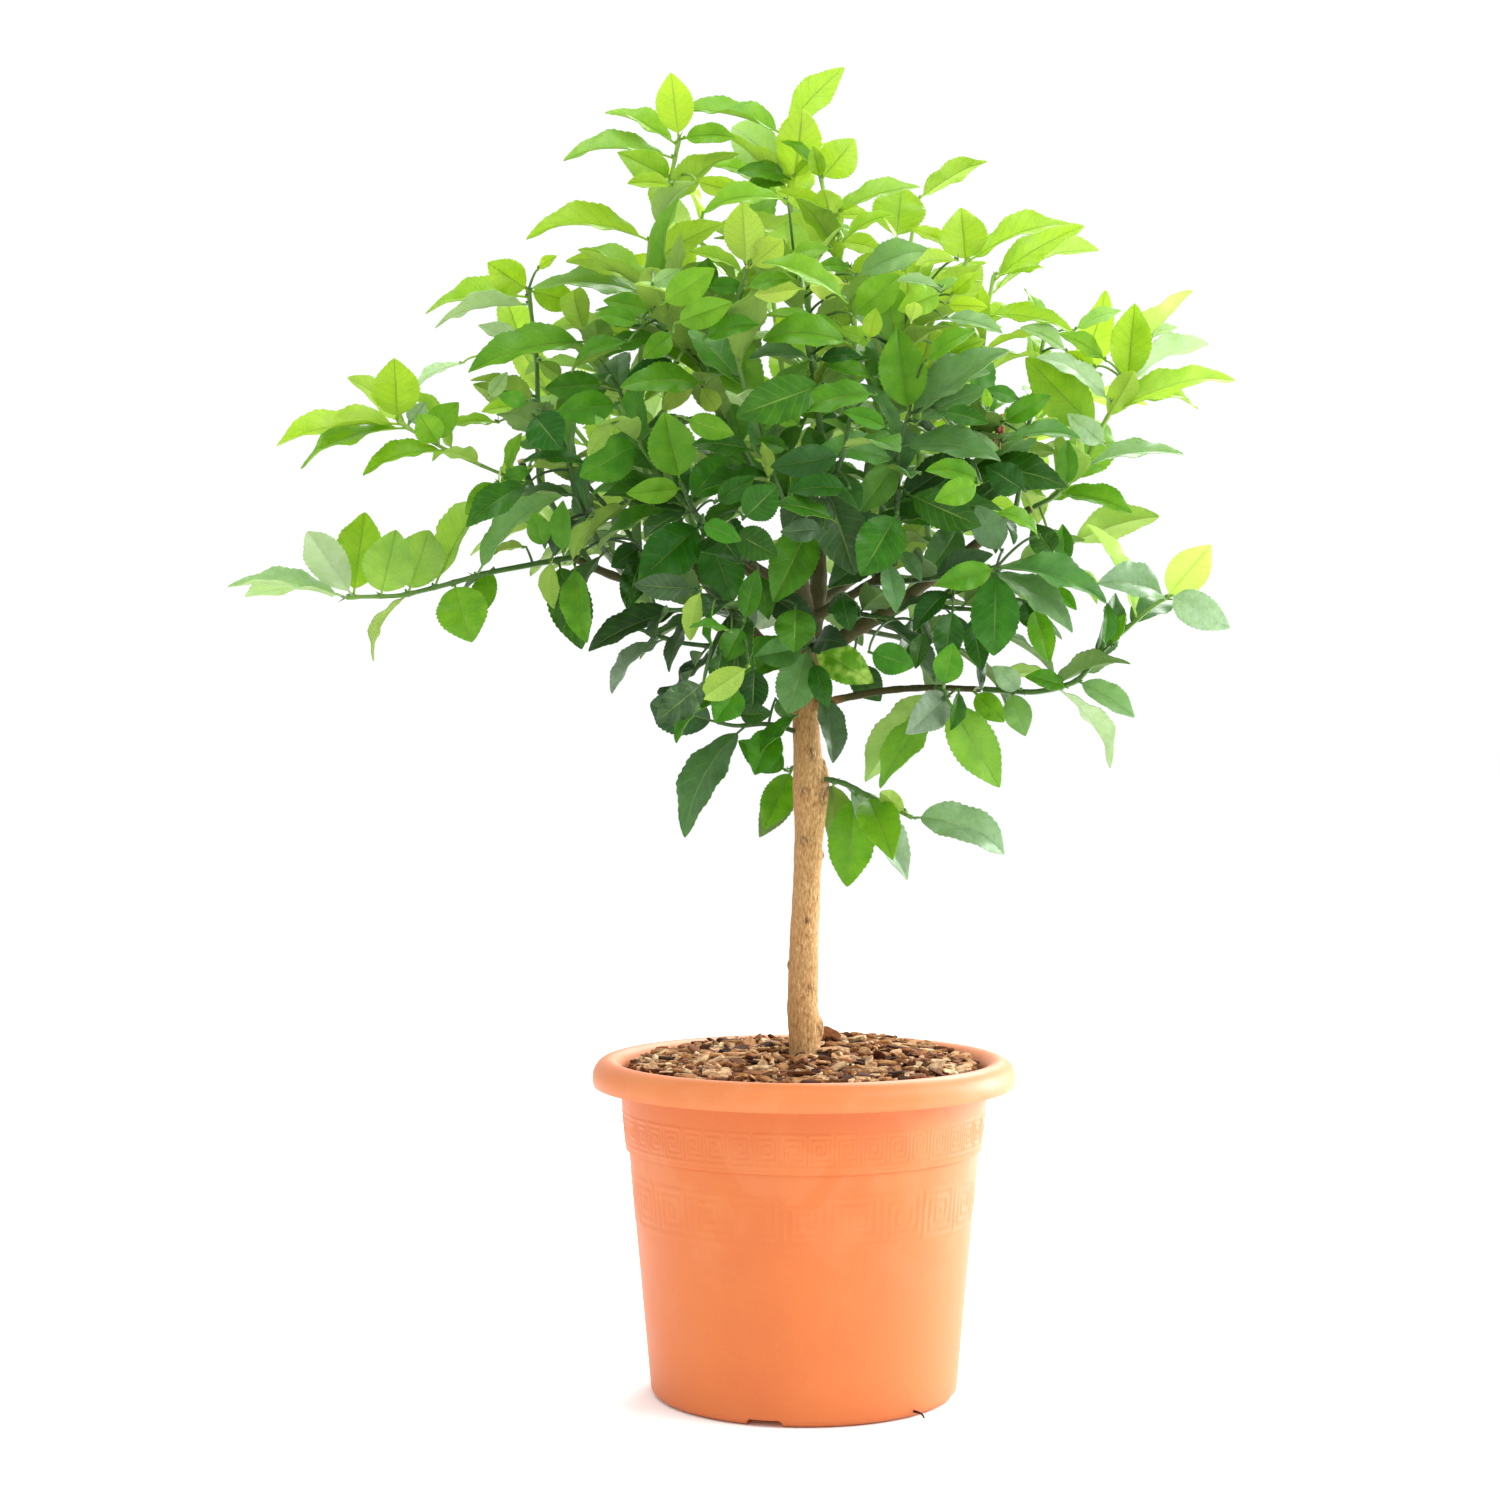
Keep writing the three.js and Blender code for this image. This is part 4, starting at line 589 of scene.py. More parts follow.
def rule_leaf(name, shoot, number, seed, leaf_gap=LEAF_GAP, near_gap=NEAR_GAP, count=None):
    """A leaf placed by the rule: each stands a fixed turn further round the stem than the last"""
    points = leaf_places(stems[name].route)
    reach = 0.8 if shoot["set"] else 1
    count = count or shoot["leaves"]
    share = between(0.1, reach, (number % count + 0.8) / count)
    index = min(len(points) - 2, math.floor(share * (len(points) - 1)))
    base = points[index]
    along = unit(points[index + 1] - base)
    side = unit(np.cross(along, UP))
    over = np.cross(side, along)
    outward = unit(base - CROWN_CENTRE)
    for attempt in range(ATTEMPTS):
        random = dice(seed * 1009 + number * 31 + attempt * 7)
        around = seed + number * TURN + attempt * 0.9
        lean = between(1.35, 0.8, share) + between(-0.15, 0.2, random())
        radial = side * math.cos(around) + over * math.sin(around)
        heading = along * math.cos(lean) + radial * math.sin(lean) + outward * 0.45
        heading[2] -= between(0.75, 0.3, share) * random()
        heading = unit(heading)
        length = shoot["size"] * between(0.78, 1.15, random()) * (1 - 0.04 * attempt)
        facing = UP * 0.75 + outward * 0.55 + along * 0.2
        facing[0] += between(-0.3, 0.3, random())
        facing[1] += between(-0.3, 0.3, random())
        width = length * between(LEAF_RATIO - 0.03, LEAF_RATIO + 0.06, random())
        arch = between(0.35, 1, random())
        leaf = leaf_of(base, base + heading * length, facing, width, arch, random)
        samples = blade_point(leaf, SAMPLE_ALONG, SAMPLE_ACROSS)
        if free_way(samples, name, leaf_gap, near_gap) > 0:
            return leaf, samples
    return None


def keep_stem(name, route, radii, girth):
    """Notes a stem, and points along it for leaves to keep clear of"""
    stems[name] = SimpleNamespace(route=route, radii=radii)
    fine = finely(route)
    grown.points += list(fine)
    grown.radii += list(np.linspace(*girth, len(fine)))
    grown.stem_shoots += [name] * len(fine)


def grow_stem(name, row, girth):
    """Lays a stem's route from inside the stem that it grows from"""
    points = [seen(*place) for place in row["route"]]
    parent = stems[row["from"]]
    near = finely(parent.route, 2)
    start = near[closest(near, points[0])]
    points[0] = start + unit(points[1] - start) * parent.radii[-1] * 0.8
    keep_stem(name, np.array(points), np.linspace(*girth, len(points)), girth)


def shoot_girth(row):
    """A side shoot is slimmer than the shoot that carries it"""
    if row["from"] in SHOOTS:
        return 1.7, 1.6
    return 2.2 + length_of(row["route"]) / 240, 1.9


def grow_stems():
    """The trunk, its limbs and the shoots on them"""
    heights, middles, radii = np.array(TRUNK).T
    route = np.column_stack((middles, np.zeros(len(heights)), heights))
    keep_stem("trunk", route, radii, TRUNK_ROOM)
    for name, limb in LIMBS.items():
        grow_stem(name, limb, (limb["foot"], limb["end"]))
    for name, shoot in SHOOTS.items():
        grow_stem(name, shoot, shoot_girth(shoot))


# Small leaves and those further in, which fill the crown between the leaves of the CAD part
FILL_SPACING = 16  # of the filling leaves along a shoot
FILL = {"gap": 6, "near_gap": 5, "centre": (6.0, 10.0, 850.0), "reach": (255.0, 215.0, 245.0)}

# Where daylight shows through the crown from the front: x, z and radius
DAYLIGHT = np.array(rows("""
0 1085 15, 34 1054 11, -56 1057 11, -127 1010 11, -165 987 9, -148 990 9, -85 1018 7, 42 998 9, 60 994 9,
72 986 6, 0 986 6, -14 984 6, -75 978 7, -62 963 6, -56 925 9, -38 928 9, -20 928 9, -30 915 6, 8 928 8,
24 926 10, 106 926 10, 124 904 7, 112 961 6, 150 938 5, -172 904 9, -154 905 7, -138 908 5, -146 880 6,
32 865 9, 75 880 5, 55 839 5, -124 845 9, -102 847 9, -64 855 6, -44 822 5, -40 798 5, -190 818 12,
-202 776 17, -128 752 7, -160 738 15, -178 722 12, -166 712 8, 60 792 6, -11 782 5, -21 766 5, 88 725 5,
125 727 5, -86 667 8, -96 650 8, 80 657 7, 103 616 7, 30 606 7, -33 604 8, 186 868 12, 193 788 7, 176 826 7,
168 884 6, 135 846 6, 112 826 5, -250 918 10, -243 870 11, -248 843 7, -205 880 7, -212 952 6, 175 640 7,
222 662 8, 235 612 9
"""))
DAYLIGHT_LOST = 2  # samples of a leaf that may lie before such gaps


def in_daylight(samples):
    """Whether a leaf would close one of those gaps"""
    apart = np.linalg.norm(as_seen(samples)[:, None, ::2] - DAYLIGHT[None, :, :2], axis=2)
    return (apart < DAYLIGHT[:, 2]).any(axis=1).sum() > DAYLIGHT_LOST


def inside_crown(samples):
    """Whether a leaf lies in the part of the crown that is filled"""
    centre, reach = np.array(FILL["centre"]), np.array(FILL["reach"])
    return (np.linalg.norm((samples - centre) / reach, axis=1) < 1).all()


ADDED_GAP = 7  # in front of the leaves that an added leaf covers
ADDED_REACH = -232  # no added leaf comes further forward than this
ADDED_SHIFTS = (0, -7, 7, -14, 14, -22, 22, -30)  # in the depth of an added leaf, tried in turn
ADDED_COVER = 0.4  # how far to the sides it covers others, as a share of its width
ADDED_TILT = 6  # its base stands that much deeper, and its tip that much nearer
ADDED_ROOM = 3.5  # that it should keep from others
ADDED_LEAST = 2.5  # how much of that may be missing


def added_leaf(row, random):
    """A leaf at its place as seen from the front, nearer than the leaves of the rule that stand there,
    on a thin side twig from the nearest shoot"""
    x0, z0, x1, z1, shown, bend, age, pale = row
    side, shown, arch = math.copysign(1, shown), abs(shown), math.radians(bend)
    base, tip = np.array((x0, 0.0, z0)), np.array((x1, 0.0, z1))
    mine = np.array([name in SHOOTS for name in grown.stem_shoots])
    stem_points = np.array(grown.points)[mine]
    owners = np.array(grown.stem_shoots)[mine]
    depth = stem_points[closest(as_seen(stem_points), base)][1]
    behind = np.array(grown.by_rule).reshape(-1, 3)
    flat = as_seen(behind)
    line = tip - base
    share = np.clip((flat - base).dot(line) / line.dot(line), 0, 1)
    off = np.linalg.norm(flat - (base + share[:, None] * line), axis=1)
    covered = off < shown * ADDED_COVER
    if covered.any():
        depth = min(depth, behind[covered, 1].min() - ADDED_GAP)
    depths = [max(ADDED_REACH, depth + shift) for shift in ADDED_SHIFTS]
    ends = [(seen(x0, z0, reach + ADDED_TILT), seen(x1, z1, reach - ADDED_TILT)) for reach in depths]
    leaf, samples, free = freest_leaf(ends, (shown, side, arch), random, "", ADDED_ROOM, ADDED_ROOM)
    if free < -ADDED_LEAST:
        return None
    away = np.linalg.norm(stem_points - leaf.base, axis=1)
    away_as_seen = np.linalg.norm(as_seen(stem_points) - base, axis=1)
    home = np.argmin(away + away_as_seen)
    leaf.age, leaf.pale, leaf.stem = age / 100, pale / 100, stem_points[home]
    return owners[home], leaf, samples


def grow_leaves():
    """The leaves of each shoot: those placed one by one, those by the rule, the filling ones and the
    ones added between them"""
    leaves = {name: [] for name in SHOOTS}

    def keep(name, leaf, samples, by_rule=True):
        grown.leaves.append(samples)
        grown.leaf_shoots.append(name)
        leaves[name].append(leaf)
        if by_rule:
            grown.by_rule.append(samples)
            leaf.slim = 1 if hasattr(leaf, "stem") else RULE_SLIMNESS

    for order, (name, shoot) in enumerate(SHOOTS.items()):
        for number, row in enumerate(shoot["set"]):
            leaf, samples = set_leaf(name, row, dice(order * 101 + number))
            if len(row) > SET_NUMBERS:
                leaf.age, leaf.pale, leaf.yellow = (value / 100 for value in row[SET_NUMBERS:])
            keep(name, leaf, samples, by_rule=False)
    for order, (name, shoot) in enumerate(SHOOTS.items()):
        for number in range(int(shoot["leaves"])):
            placed = rule_leaf(name, shoot, number, order + 1)
            if placed:
                keep(name, *placed)
    for order, (name, shoot) in enumerate(SHOOTS.items()):
        count = math.ceil(length_of(stems[name].route) / FILL_SPACING)
        for number in range(count):
            seed = order + FILL_SEED
            placed = rule_leaf(name, shoot, number, seed, FILL["gap"], FILL["near_gap"], count)
            if placed and inside_crown(placed[1]) and not in_daylight(placed[1]):
                keep(name, *placed)
    for number, row in enumerate(MORE_LEAVES):
        placed = added_leaf(row, dice(ADDED_SEED + number))
        if placed:
            keep(*placed)
    return leaves


# ---- Making meshes ----


class Pile:
    """Closed shells gathered into one mesh, with numbers at their points for the materials to read"""

    def __init__(self, *values):
        self.points = []
        self.faces = []
        self.slots = []
        self.values = {name: [] for name in values}
        self.count = 0

    def add(self, points, faces, slot=0, **values):
        """One more shell, with the slot of its material and its values"""
        self.points.append(np.asarray(points, float))
        self.faces += [[corner + self.count for corner in face] for face in faces]
        self.slots += [slot] * len(faces)
        for name, found in self.values.items():
            found.append(np.broadcast_to(np.asarray(values.get(name, 0.0), float), len(points)))
        self.count += len(points)

    def make(self, name, materials, sharp=math.radians(50)):
        """One mesh with them all, smooth but for edges over that angle"""
        mesh = bpy.data.meshes.new(name)
        mesh.from_pydata((np.concatenate(self.points) * MM).tolist(), [], self.faces)
        for material in materials:
            mesh.materials.append(material)
        mesh.polygons.foreach_set("material_index", self.slots)
        for value, found in self.values.items():
            attribute = mesh.attributes.new(value, "FLOAT", "POINT")
            attribute.data.foreach_set("value", np.concatenate(found))
        mesh.shade_smooth()
        mesh.set_sharp_from_angle(angle=sharp)
        return placed_object(name, mesh)


def placed_object(name, data):
    """A new object in the scene"""
    made = bpy.data.objects.new(name, data)
    bpy.context.collection.objects.link(made)
    return made


def finish_piece(piece, slot, *nodes):
    """The piece is attached to the root body and stands for these nodes of the CAD part, which it hides. The
    slot is not used.
    """
    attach(piece, "root")
    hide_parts(*nodes)


def loft(rings):
    """Faces between closed rings of points that follow each other, open at both ends.

    Rings hold the same number of points, or one of two neighbours holds a few times as many.
    """
    faces = []
    first = 0
    for lower, upper in zip(rings, rings[1:]):
        second = first + lower
        few = min(lower, upper)
        below, above = lower // few, upper // few
        for side in range(few):
            bottom = [first + (side * below + step) % lower for step in range(below + 1)]
            top = [second + (side * above + step) % upper for step in range(above, -1, -1)]
            faces.append((*bottom, *top))
        first = second
    return faces


def closed_loft(rings):
    """A loft with one face over each end"""
    last = sum(rings[:-1])
    return [*loft(rings), list(range(rings[0]))[::-1], list(range(last, last + rings[-1]))]


def tube(route, radii, sides, ridges=0.0):
    """A closed tube along a route. Its section is round, or has three soft ridges."""
    angles = np.arange(sides) / sides * math.tau
    section = 1 + ridges * np.cos(3 * angles)
    points = []
    across = None
    for step, point in enumerate(route):
        along = unit(route[min(step + 1, len(route) - 1)] - route[max(step - 1, 0)])
        if across is None:
            across = np.array((1.0, 0.0, 0.0)) if abs(along[2]) > 0.9 else UP
        across = unit(across - along * across.dot(along))
        other = np.cross(along, across)
        ring = np.cos(angles)[:, None] * across + np.sin(angles)[:, None] * other
        points.append(point + ring * (section * radii[step])[:, None])
    return np.concatenate(points), closed_loft([sides] * len(route))


def smoothed(route, step=5, passes=14):
    """A route with its corners rounded"""
    points = finely(route, step)
    for _ in range(passes):
        points[1:-1] = points[1:-1] * 0.5 + (points[:-2] + points[2:]) * 0.25
    return points


def rough(points, scale, seed=0):
    """Smooth noise from -1 to 1 at points in millimetres, with lumps about that many millimetres wide"""
    shift = seed * 17.3  # far enough for other lumps
    places = points / np.asarray(scale, float) + shift
    return np.array([noise.noise(Vector(place)) for place in places])


# ---- Pot ----

POT_SIDES = 264
KEY_RISE = 0.42  # how far the ornament stands off the wall where it is crisp
KEY_WORN = (-100, 48)  # degrees from +X where it is fainter, and how far to the sides
KEY_DRAFT = 0.17  # half the width of its sloping edge, as a share of a cell of the pattern
KEY_BAND = (148.0, 190.0)
KEY_REPEATS = 22
SMALL_BAND = (213.5, 242.0)
SMALL_REPEATS = 44

# One turn of the traditional key ornament, read from the top, with X for what is raised
KEY = (
    "XXXXXXXXXXX.",
    "X.........X.",
    "X.XXXXXXX.X.",
    "X.X.....X.X.",
    "X.X.XXX.X.X.",
    "X.X.X.X.X.X.",
    "X.X.X...X.X.",
    "X.X.XXXXX.X.",
    "X.X.......X.",
    "X.XXXXXXXXX.",
    "X...........",
    "XXXXXXXXXXXX",
)
KEY_SIZE = len(KEY)


def wall_radius(height):
    share = (height - FOOT_BEVEL) / (COLLAR_BOTTOM - 4 - FOOT_BEVEL)
    return between(FOOT_RADIUS, COLLAR_RADIUS[1] - STEP_DEPTH, share)


def collar_radius(height):
    share = (height - COLLAR_BOTTOM) / (POT_HEIGHT - RIM_DEPTH - 4 - COLLAR_BOTTOM)
    return between(COLLAR_RADIUS[1], COLLAR_RADIUS[0], share)


def arc(centre, size, start, stop, steps):
    """[radius, height] points along part of an ellipse, with its angles in degrees"""
    angles = np.radians(np.linspace(start, stop, steps))
    return [(centre[0] + size[0] * math.cos(a), centre[1] + size[1] * math.sin(a)) for a in angles]


def crispness(angles, height):
    """How much of the ornament's height the mould has given, in uneven patches"""
    middle, reach = (math.radians(value) for value in KEY_WORN)
    off = (angles - middle + math.pi) % math.tau - math.pi
    wall = ring_points(np.full(len(angles), RIM_OPENING), height, angles)
    patches = np.clip(0.8 + 0.8 * rough(wall, 38, 11), 0.4, 1)
    return patches * (1 - 0.3 * np.exp(-((off / reach) ** 2)))


def key_rings(band, radius_at, repeats):
    """Rings of a band with the raised ornament, two in each row of the pattern, as are their points"""
    pattern = np.array([[letter == "X" for letter in line] for line in KEY[::-1]], float)
    pattern = np.pad(np.tile(pattern, repeats), ((1, 1), (0, 0)))
    cells = pattern.shape[1]
    parts = np.array((KEY_DRAFT, 1 - KEY_DRAFT))
    angles = (np.arange(cells)[:, None] + parts).ravel() / cells * math.tau
    row_height = (band[1] - band[0]) / KEY_SIZE
    rings = []
    for row, line in enumerate(pattern, -1):
        for part in parts:
            height = band[0] + (row + part) * row_height
            rise = KEY_RISE * np.repeat(line, 2) * crispness(angles, height)
            rings.append((radius_at(height) + rise, height, angles))
    return rings


def pot_rings():
    """Rings from the middle of the underside, up the outside, over the rim and down to the floor"""
    bead = ((RIM_RADIUS + RIM_OPENING) / 2, POT_HEIGHT - BEAD_RISE)
    bead_size = ((RIM_RADIUS - RIM_OPENING) / 2, BEAD_RISE)
    rim_bottom = POT_HEIGHT - RIM_DEPTH
    top_radius, bottom_radius = COLLAR_RADIUS
    outside = [(20, 0), (70, 0), (108, 0)]
    outside += arc((FOOT_RADIUS - FOOT_BEVEL, FOOT_BEVEL), (FOOT_BEVEL, FOOT_BEVEL), -90, 0, 8)
    outside += [(wall_radius(height), height) for height in np.linspace(10, 140, 12)]
    above_key = [(wall_radius(height), height) for height in (196, 201, 206, 207.5)]
    step = [(bottom_radius - 1.0, 208.3), (bottom_radius - 0.2, 208.7), (bottom_radius, 209.6)]
    above_small = [(collar_radius(height), height) for height in (247, 252, rim_bottom - 5)]
    fillet = arc((top_radius + 5, rim_bottom - 4), (5, 4.6), 180, 98, 6)
    lip = [(168, rim_bottom + 0.4), (173, rim_bottom), (176.5, rim_bottom - 0.6), (178.3, rim_bottom - 0.9)]
    over = arc(bead, bead_size, -24, 178, 34)
    inside = [(RIM_OPENING - 0.4, 266), (RIM_OPENING - 1, 258), (bottom_radius - WALL + 0.5, 214)]
    inside += [(bottom_radius - WALL - 0.4, 209), (wall_radius(204) - WALL, 204)]
    inside += [(wall_radius(height) - WALL, height) for height in (150, 80, FLOOR_TOP + 5)]
    inside += arc((wall_radius(FLOOR_TOP) - WALL - 4, FLOOR_TOP + 4), (4, 4), 0, -90, 5)
    inside += [(90, FLOOR_TOP), (50, FLOOR_TOP), (20, FLOOR_TOP)]
    large = key_rings(KEY_BAND, wall_radius, KEY_REPEATS)
    small = key_rings(SMALL_BAND, collar_radius, SMALL_REPEATS)
    return [*outside, *large, *above_key, *step, *small, *above_small, *fillet, *lip, *over, *inside]


def ring_points(radius, height, angles=None):
    radius = np.asarray(radius, float)
    sides = len(radius) if radius.ndim else POT_SIDES
    angles = np.arange(sides) / sides * math.tau if angles is None else angles
    return np.stack((radius * np.cos(angles), radius * np.sin(angles), np.full(sides, height)), axis=1)


def stack(profile, sides):
    """Points of plain rings, one above the other, from their radii and heights"""
    return np.concatenate([ring_points(np.full(sides, float(radius)), height) for radius, height in profile])


def drain_cutters():
    """Open channels under the floor, and the holes that let water out into them"""
    channels, holes = Pile(), Pile()
    half = CHANNEL_WIDTH / 2
    section = [(-half, -4), (half, -4), (half, CHANNEL_DEPTH - 2), (half - 2, CHANNEL_DEPTH)]
    section += [(2 - half, CHANNEL_DEPTH), (-half, CHANNEL_DEPTH - 2)]
    faces = closed_loft([len(section)] * 2)
    for index in range(CHANNEL_COUNT):
        angle = math.radians(CHANNEL_ANGLE + 360 / CHANNEL_COUNT * index)
        out = np.array((math.cos(angle), math.sin(angle), 0.0))
        aside = np.array((-out[1], out[0], 0.0))
        ends = [
            [out * reach + aside * width + UP * height for width, height in section]
            for reach in (CHANNEL_INNER, RIM_RADIUS)
        ]
        channels.add(np.concatenate(ends), faces)
        middle = out * DRAIN_DISTANCE
        holes.add(*tube(np.array([middle - UP * 4, middle + UP * 20]), [DRAIN_RADIUS] * 2, 24))
    return channels.make("drain_channels", ()), holes.make("drain_holes", ())


def make_pot(material):
    """One moulded shell, with the drains cut out of its foot"""
    rings = [ring_points(*ring) for ring in pot_rings()]
    pile = Pile()
    pile.add(np.concatenate(rings), closed_loft([len(ring) for ring in rings]))
    pot = pile.make("pot_shell", [material], sharp=math.radians(40))
    drains = drain_cutters()
    for drain in drains:
        cut = pot.modifiers.new(drain.name, "BOOLEAN")
        cut.operation = "DIFFERENCE"
        cut.solver = "EXACT"
        cut.object = drain
    return baked(pot, "pot_body", *drains)


def baked(source, name, *helpers):
    """A plain object with the mesh that the source's modifiers make. The source and helpers go."""
    shapes = bpy.context.evaluated_depsgraph_get()
    mesh = bpy.data.meshes.new_from_object(source.evaluated_get(shapes))
    made = placed_object(name, mesh)
    for old in (source, *helpers):
        bpy.data.objects.remove(old)
    return made


# ---- Soil and mulch ----


def mulch_top(x, y):
    """Domed, and heaped up a little behind the stem"""
    dome = MULCH_RISE * (1 - np.hypot(x, y) / RIM_OPENING)
    heap = 8 * np.exp(-(((x - 46) / 48) ** 2) - ((y - 62) / 50) ** 2)
    return MULCH_EDGE + dome + heap + 2.5 * smooth_step(20, 120, y)


def make_soil(material):
    """Compost fills the pot, with a crumbly top under the mulch"""
    gap = 0.6
    profile = [(20, FLOOR_TOP + 0.4), (wall_radius(FLOOR_TOP) - WALL - gap - 5, FLOOR_TOP + 0.4)]
    profile += [(wall_radius(FLOOR_TOP + 6) - WALL - gap, FLOOR_TOP + 6)]
    profile += [(wall_radius(height) - WALL - gap, height) for height in (60, 120, 170, 202)]
    profile += [(COLLAR_RADIUS[1] - WALL - gap, 212), (RIM_OPENING - 2 - gap, SOIL_TOP - 8)]
    profile += [(radius, SOIL_TOP - 1.5) for radius in np.linspace(RIM_OPENING - 4, 16, 26)]
    sides = 96
    points = stack(profile, sides)
    top = points[:, 2] > SOIL_TOP - 2
    points[top, 2] += 1.4 * rough(points[top], 7, 3)
    pile = Pile()
    pile.add(points, closed_loft([sides] * len(profile)))
    # The end of a root that has grown out under the pot
    root = smoothed(np.array(rows("86 -86 3.5, 90 -99 6, 96 -103 5, 97 -103 1.5")), 2, 4)
    pile.add(*tube(root, np.linspace(1.6, 0.7, len(root)), 8))
    return pile.make("compost_fill", [material])


def mulch_bed(pile):
    """Crumbs and fines between the chips: a ring with a rough top"""
    sides, inner, outer = 180, 14.5, RIM_OPENING - 1.4
    top = stack([(radius, 0) for radius in np.linspace(outer, inner, 34)], sides)
    grains = 1.6 * rough(top, 9, 1) + 1.1 * rough(top, 3.4, 2)
    top[:, 2] = mulch_top(top[:, 0], top[:, 1]) - 6 + grains
    points = np.concatenate((top, stack([(inner, SOIL_TOP + 1), (outer, SOIL_TOP + 1)], sides)))
    last = len(points) - sides
    faces = loft([sides] * (len(points) // sides))
    for side in range(sides):
        after = (side + 1) % sides
        faces.append((last + side, last + after, after, side))
    pile.add(points, faces, 1)


CHIP_CORNERS = 9


def bark_chip(pile, random, middle, size, tilt, dark=0.0):
    """A flake of bark: an uneven outline with frayed ends, thinner at its edges"""
    length, width, thickness = size
    shifts = [0.5 * random() for _ in range(CHIP_CORNERS)]
    angles = (np.arange(CHIP_CORNERS) + shifts) / CHIP_CORNERS * math.tau
    stretch = np.array([between(0.78, 1.12, random()) for _ in range(CHIP_CORNERS)])
    corner = np.stack((np.cos(angles), np.sin(angles)), axis=1)
    square = np.abs(corner) ** 0.7 * np.sign(corner)
    outline = square * stretch[:, None] * np.array((length, width)) / 2
    bend = between(-0.012, 0.02, random())
    layers = []
    for grow, height in ((0.84, -0.5), (1.0, -0.22), (1.0, 0.2), (0.86, 0.5)):
        flat = outline * grow * np.array([[between(0.93, 1.05, random())] for _ in range(CHIP_CORNERS)])
        lift = np.array([height * thickness + 0.5 * (random() - 0.5) for _ in range(CHIP_CORNERS)])
        lift += bend * flat[:, 1] ** 2
        layers.append(np.column_stack((flat, lift)))
    points = np.concatenate(layers)
    local = points.copy()
    for axis, angle in zip(([1, 2], [2, 0], [0, 1]), tilt):
        one, other = points[:, axis].T
        points[:, axis[0]], points[:, axis[1]] = (
            one * math.cos(angle) - other * math.sin(angle),
            one * math.sin(angle) + other * math.cos(angle),
        )
    pile.add(
        points + middle, closed_loft([CHIP_CORNERS] * len(layers)), 0,
        shade=random() ** (1 + dark), along=local[:, 0] + 97 * random(), across=local[:, 1] + 53 * random(),
    )


CHIP_COUNT = 1500
COARSE_SHARE = 0.15  # of large chips
CHIP_WIDTH = (0.26, 0.7)  # as a share of its length
CHIP_THICKNESS = (1.8, 4.2)


def make_mulch(chip_material, fines_with_gap_shade_material):
    """Chips spread evenly over the bed, each turned, tilted and sunk a little differently"""
    pile = Pile("shade", "along", "across")
    mulch_bed(pile)
    for index in range(CHIP_COUNT):
        random = dice(CHIP_SEED + index)
        spread = math.sqrt((index + 0.5) / CHIP_COUNT)
        coarse = random() < COARSE_SHARE
        length = between(18, 30, random()) if coarse else between(7, 18, random())
        size = (length, length * between(*CHIP_WIDTH, random()), between(*CHIP_THICKNESS, random()))
        radius = between(19, RIM_OPENING - 3 - length * 0.42, spread)
        angle = index * TURN
        x, y = radius * math.cos(angle), radius * math.sin(angle)
        middle = np.array((x, y, mulch_top(x, y) + between(-4.2, 1.6, random())))
        steep = between(0.12, 0.8, random() ** 2)
        tilt = (steep * (random() - 0.5) * 2, steep * (random() - 0.5) * 2, random() * math.tau)
        # The chips on the right half are darker
        bark_chip(pile, random, middle, size, tilt, 0.1 + 0.25 * smooth_step(-10, 70, x))
    # One chip stands up behind the stem
    standing = np.array((24.0, 34.0, 299.5))
    bark_chip(pile, dice(STANDING_CHIP_SEED), standing, (21, 13, 2.5), (1.35, 0.7, 0.2))
    return pile.make("bark_mulch_layer", [chip_material, fines_with_gap_shade_material], sharp=math.radians(30))


# ---- Trunk and limbs ----

# Knots, swellings and cut twigs on the stem: height, angle from the front in degrees, radius, how far
# out, and half the height
KNOTS = rows("""
545 20 6.5 7.5 6.5, 513 -25 6 10.5 6, 471 -18 5.5 9.2 5.5, 458 88 3.4 11.4 4, 309 80 9 9.8 14,
518 75 9 9.8 21, 510 50 7 11.2 15, 536 80 4 12.2 5, 585 -60 5 8 5, 364 -80 4 11.4 5, 403 4 4 9.7 4,
345 32 3.6 10.6 3.6, 415 150 5.5 9 5.5, 440 -130 5 9 5, 560 165 6 8 6, 600 60 6 8 6
""")


def blob(middle, size, sides=12, rings=7):
    """A round lump, with its poles above and below"""
    heights = np.linspace(-0.98, 0.98, rings)
    route = np.array([middle + UP * height * size[1] for height in heights])
    radii = [size[0] * math.sqrt(1 - height * height) + 0.05 for height in heights]
    return tube(route, radii, sides)


SKIN_GRAIN = 1.15  # the size of the cells in which the wood is fused
FISSURES = (0.4, 2.3, 11.0, 9.0)  # depth, width, and length on the stem and on the limbs
LUMPS = (0.5, 14)  # height and size


def smooth_stem():
    """Heights, middles and radii of the stem, every few millimetres"""
    heights = np.arange(STEM_FOOT, STEM_TOP + 1, 4.0)
    at, middle, radius = np.array(TRUNK).T
    middles = np.interp(heights, at, middle)
    girth = np.interp(heights, at, radius)
    soften = np.array((0.25, 0.5, 0.25))
    for _ in range(3):
        girth[1:-1] = np.convolve(girth, soften, "valid")
        middles[1:-1] = np.convolve(middles, soften, "valid")
    return heights, middles, girth


def knot_middle(knot, heights, middles, further=0.0):
    """The middle of a knot, or a point further out by a share of its radius"""
    height, turn, size, out, _ = knot
    angle = math.radians(turn - 90)
    middle = np.array((np.interp(height, heights, middles), 0, height))
    return middle + np.array((math.cos(angle), math.sin(angle), 0)) * (out + size * further)


def vertex_vectors(mesh, kind):
    """The places or normals of a mesh's vertices"""
    vectors = np.empty(len(mesh.vertices) * 3)
    mesh.vertices.foreach_get(kind, vectors)
    return vectors.reshape(-1, 3)


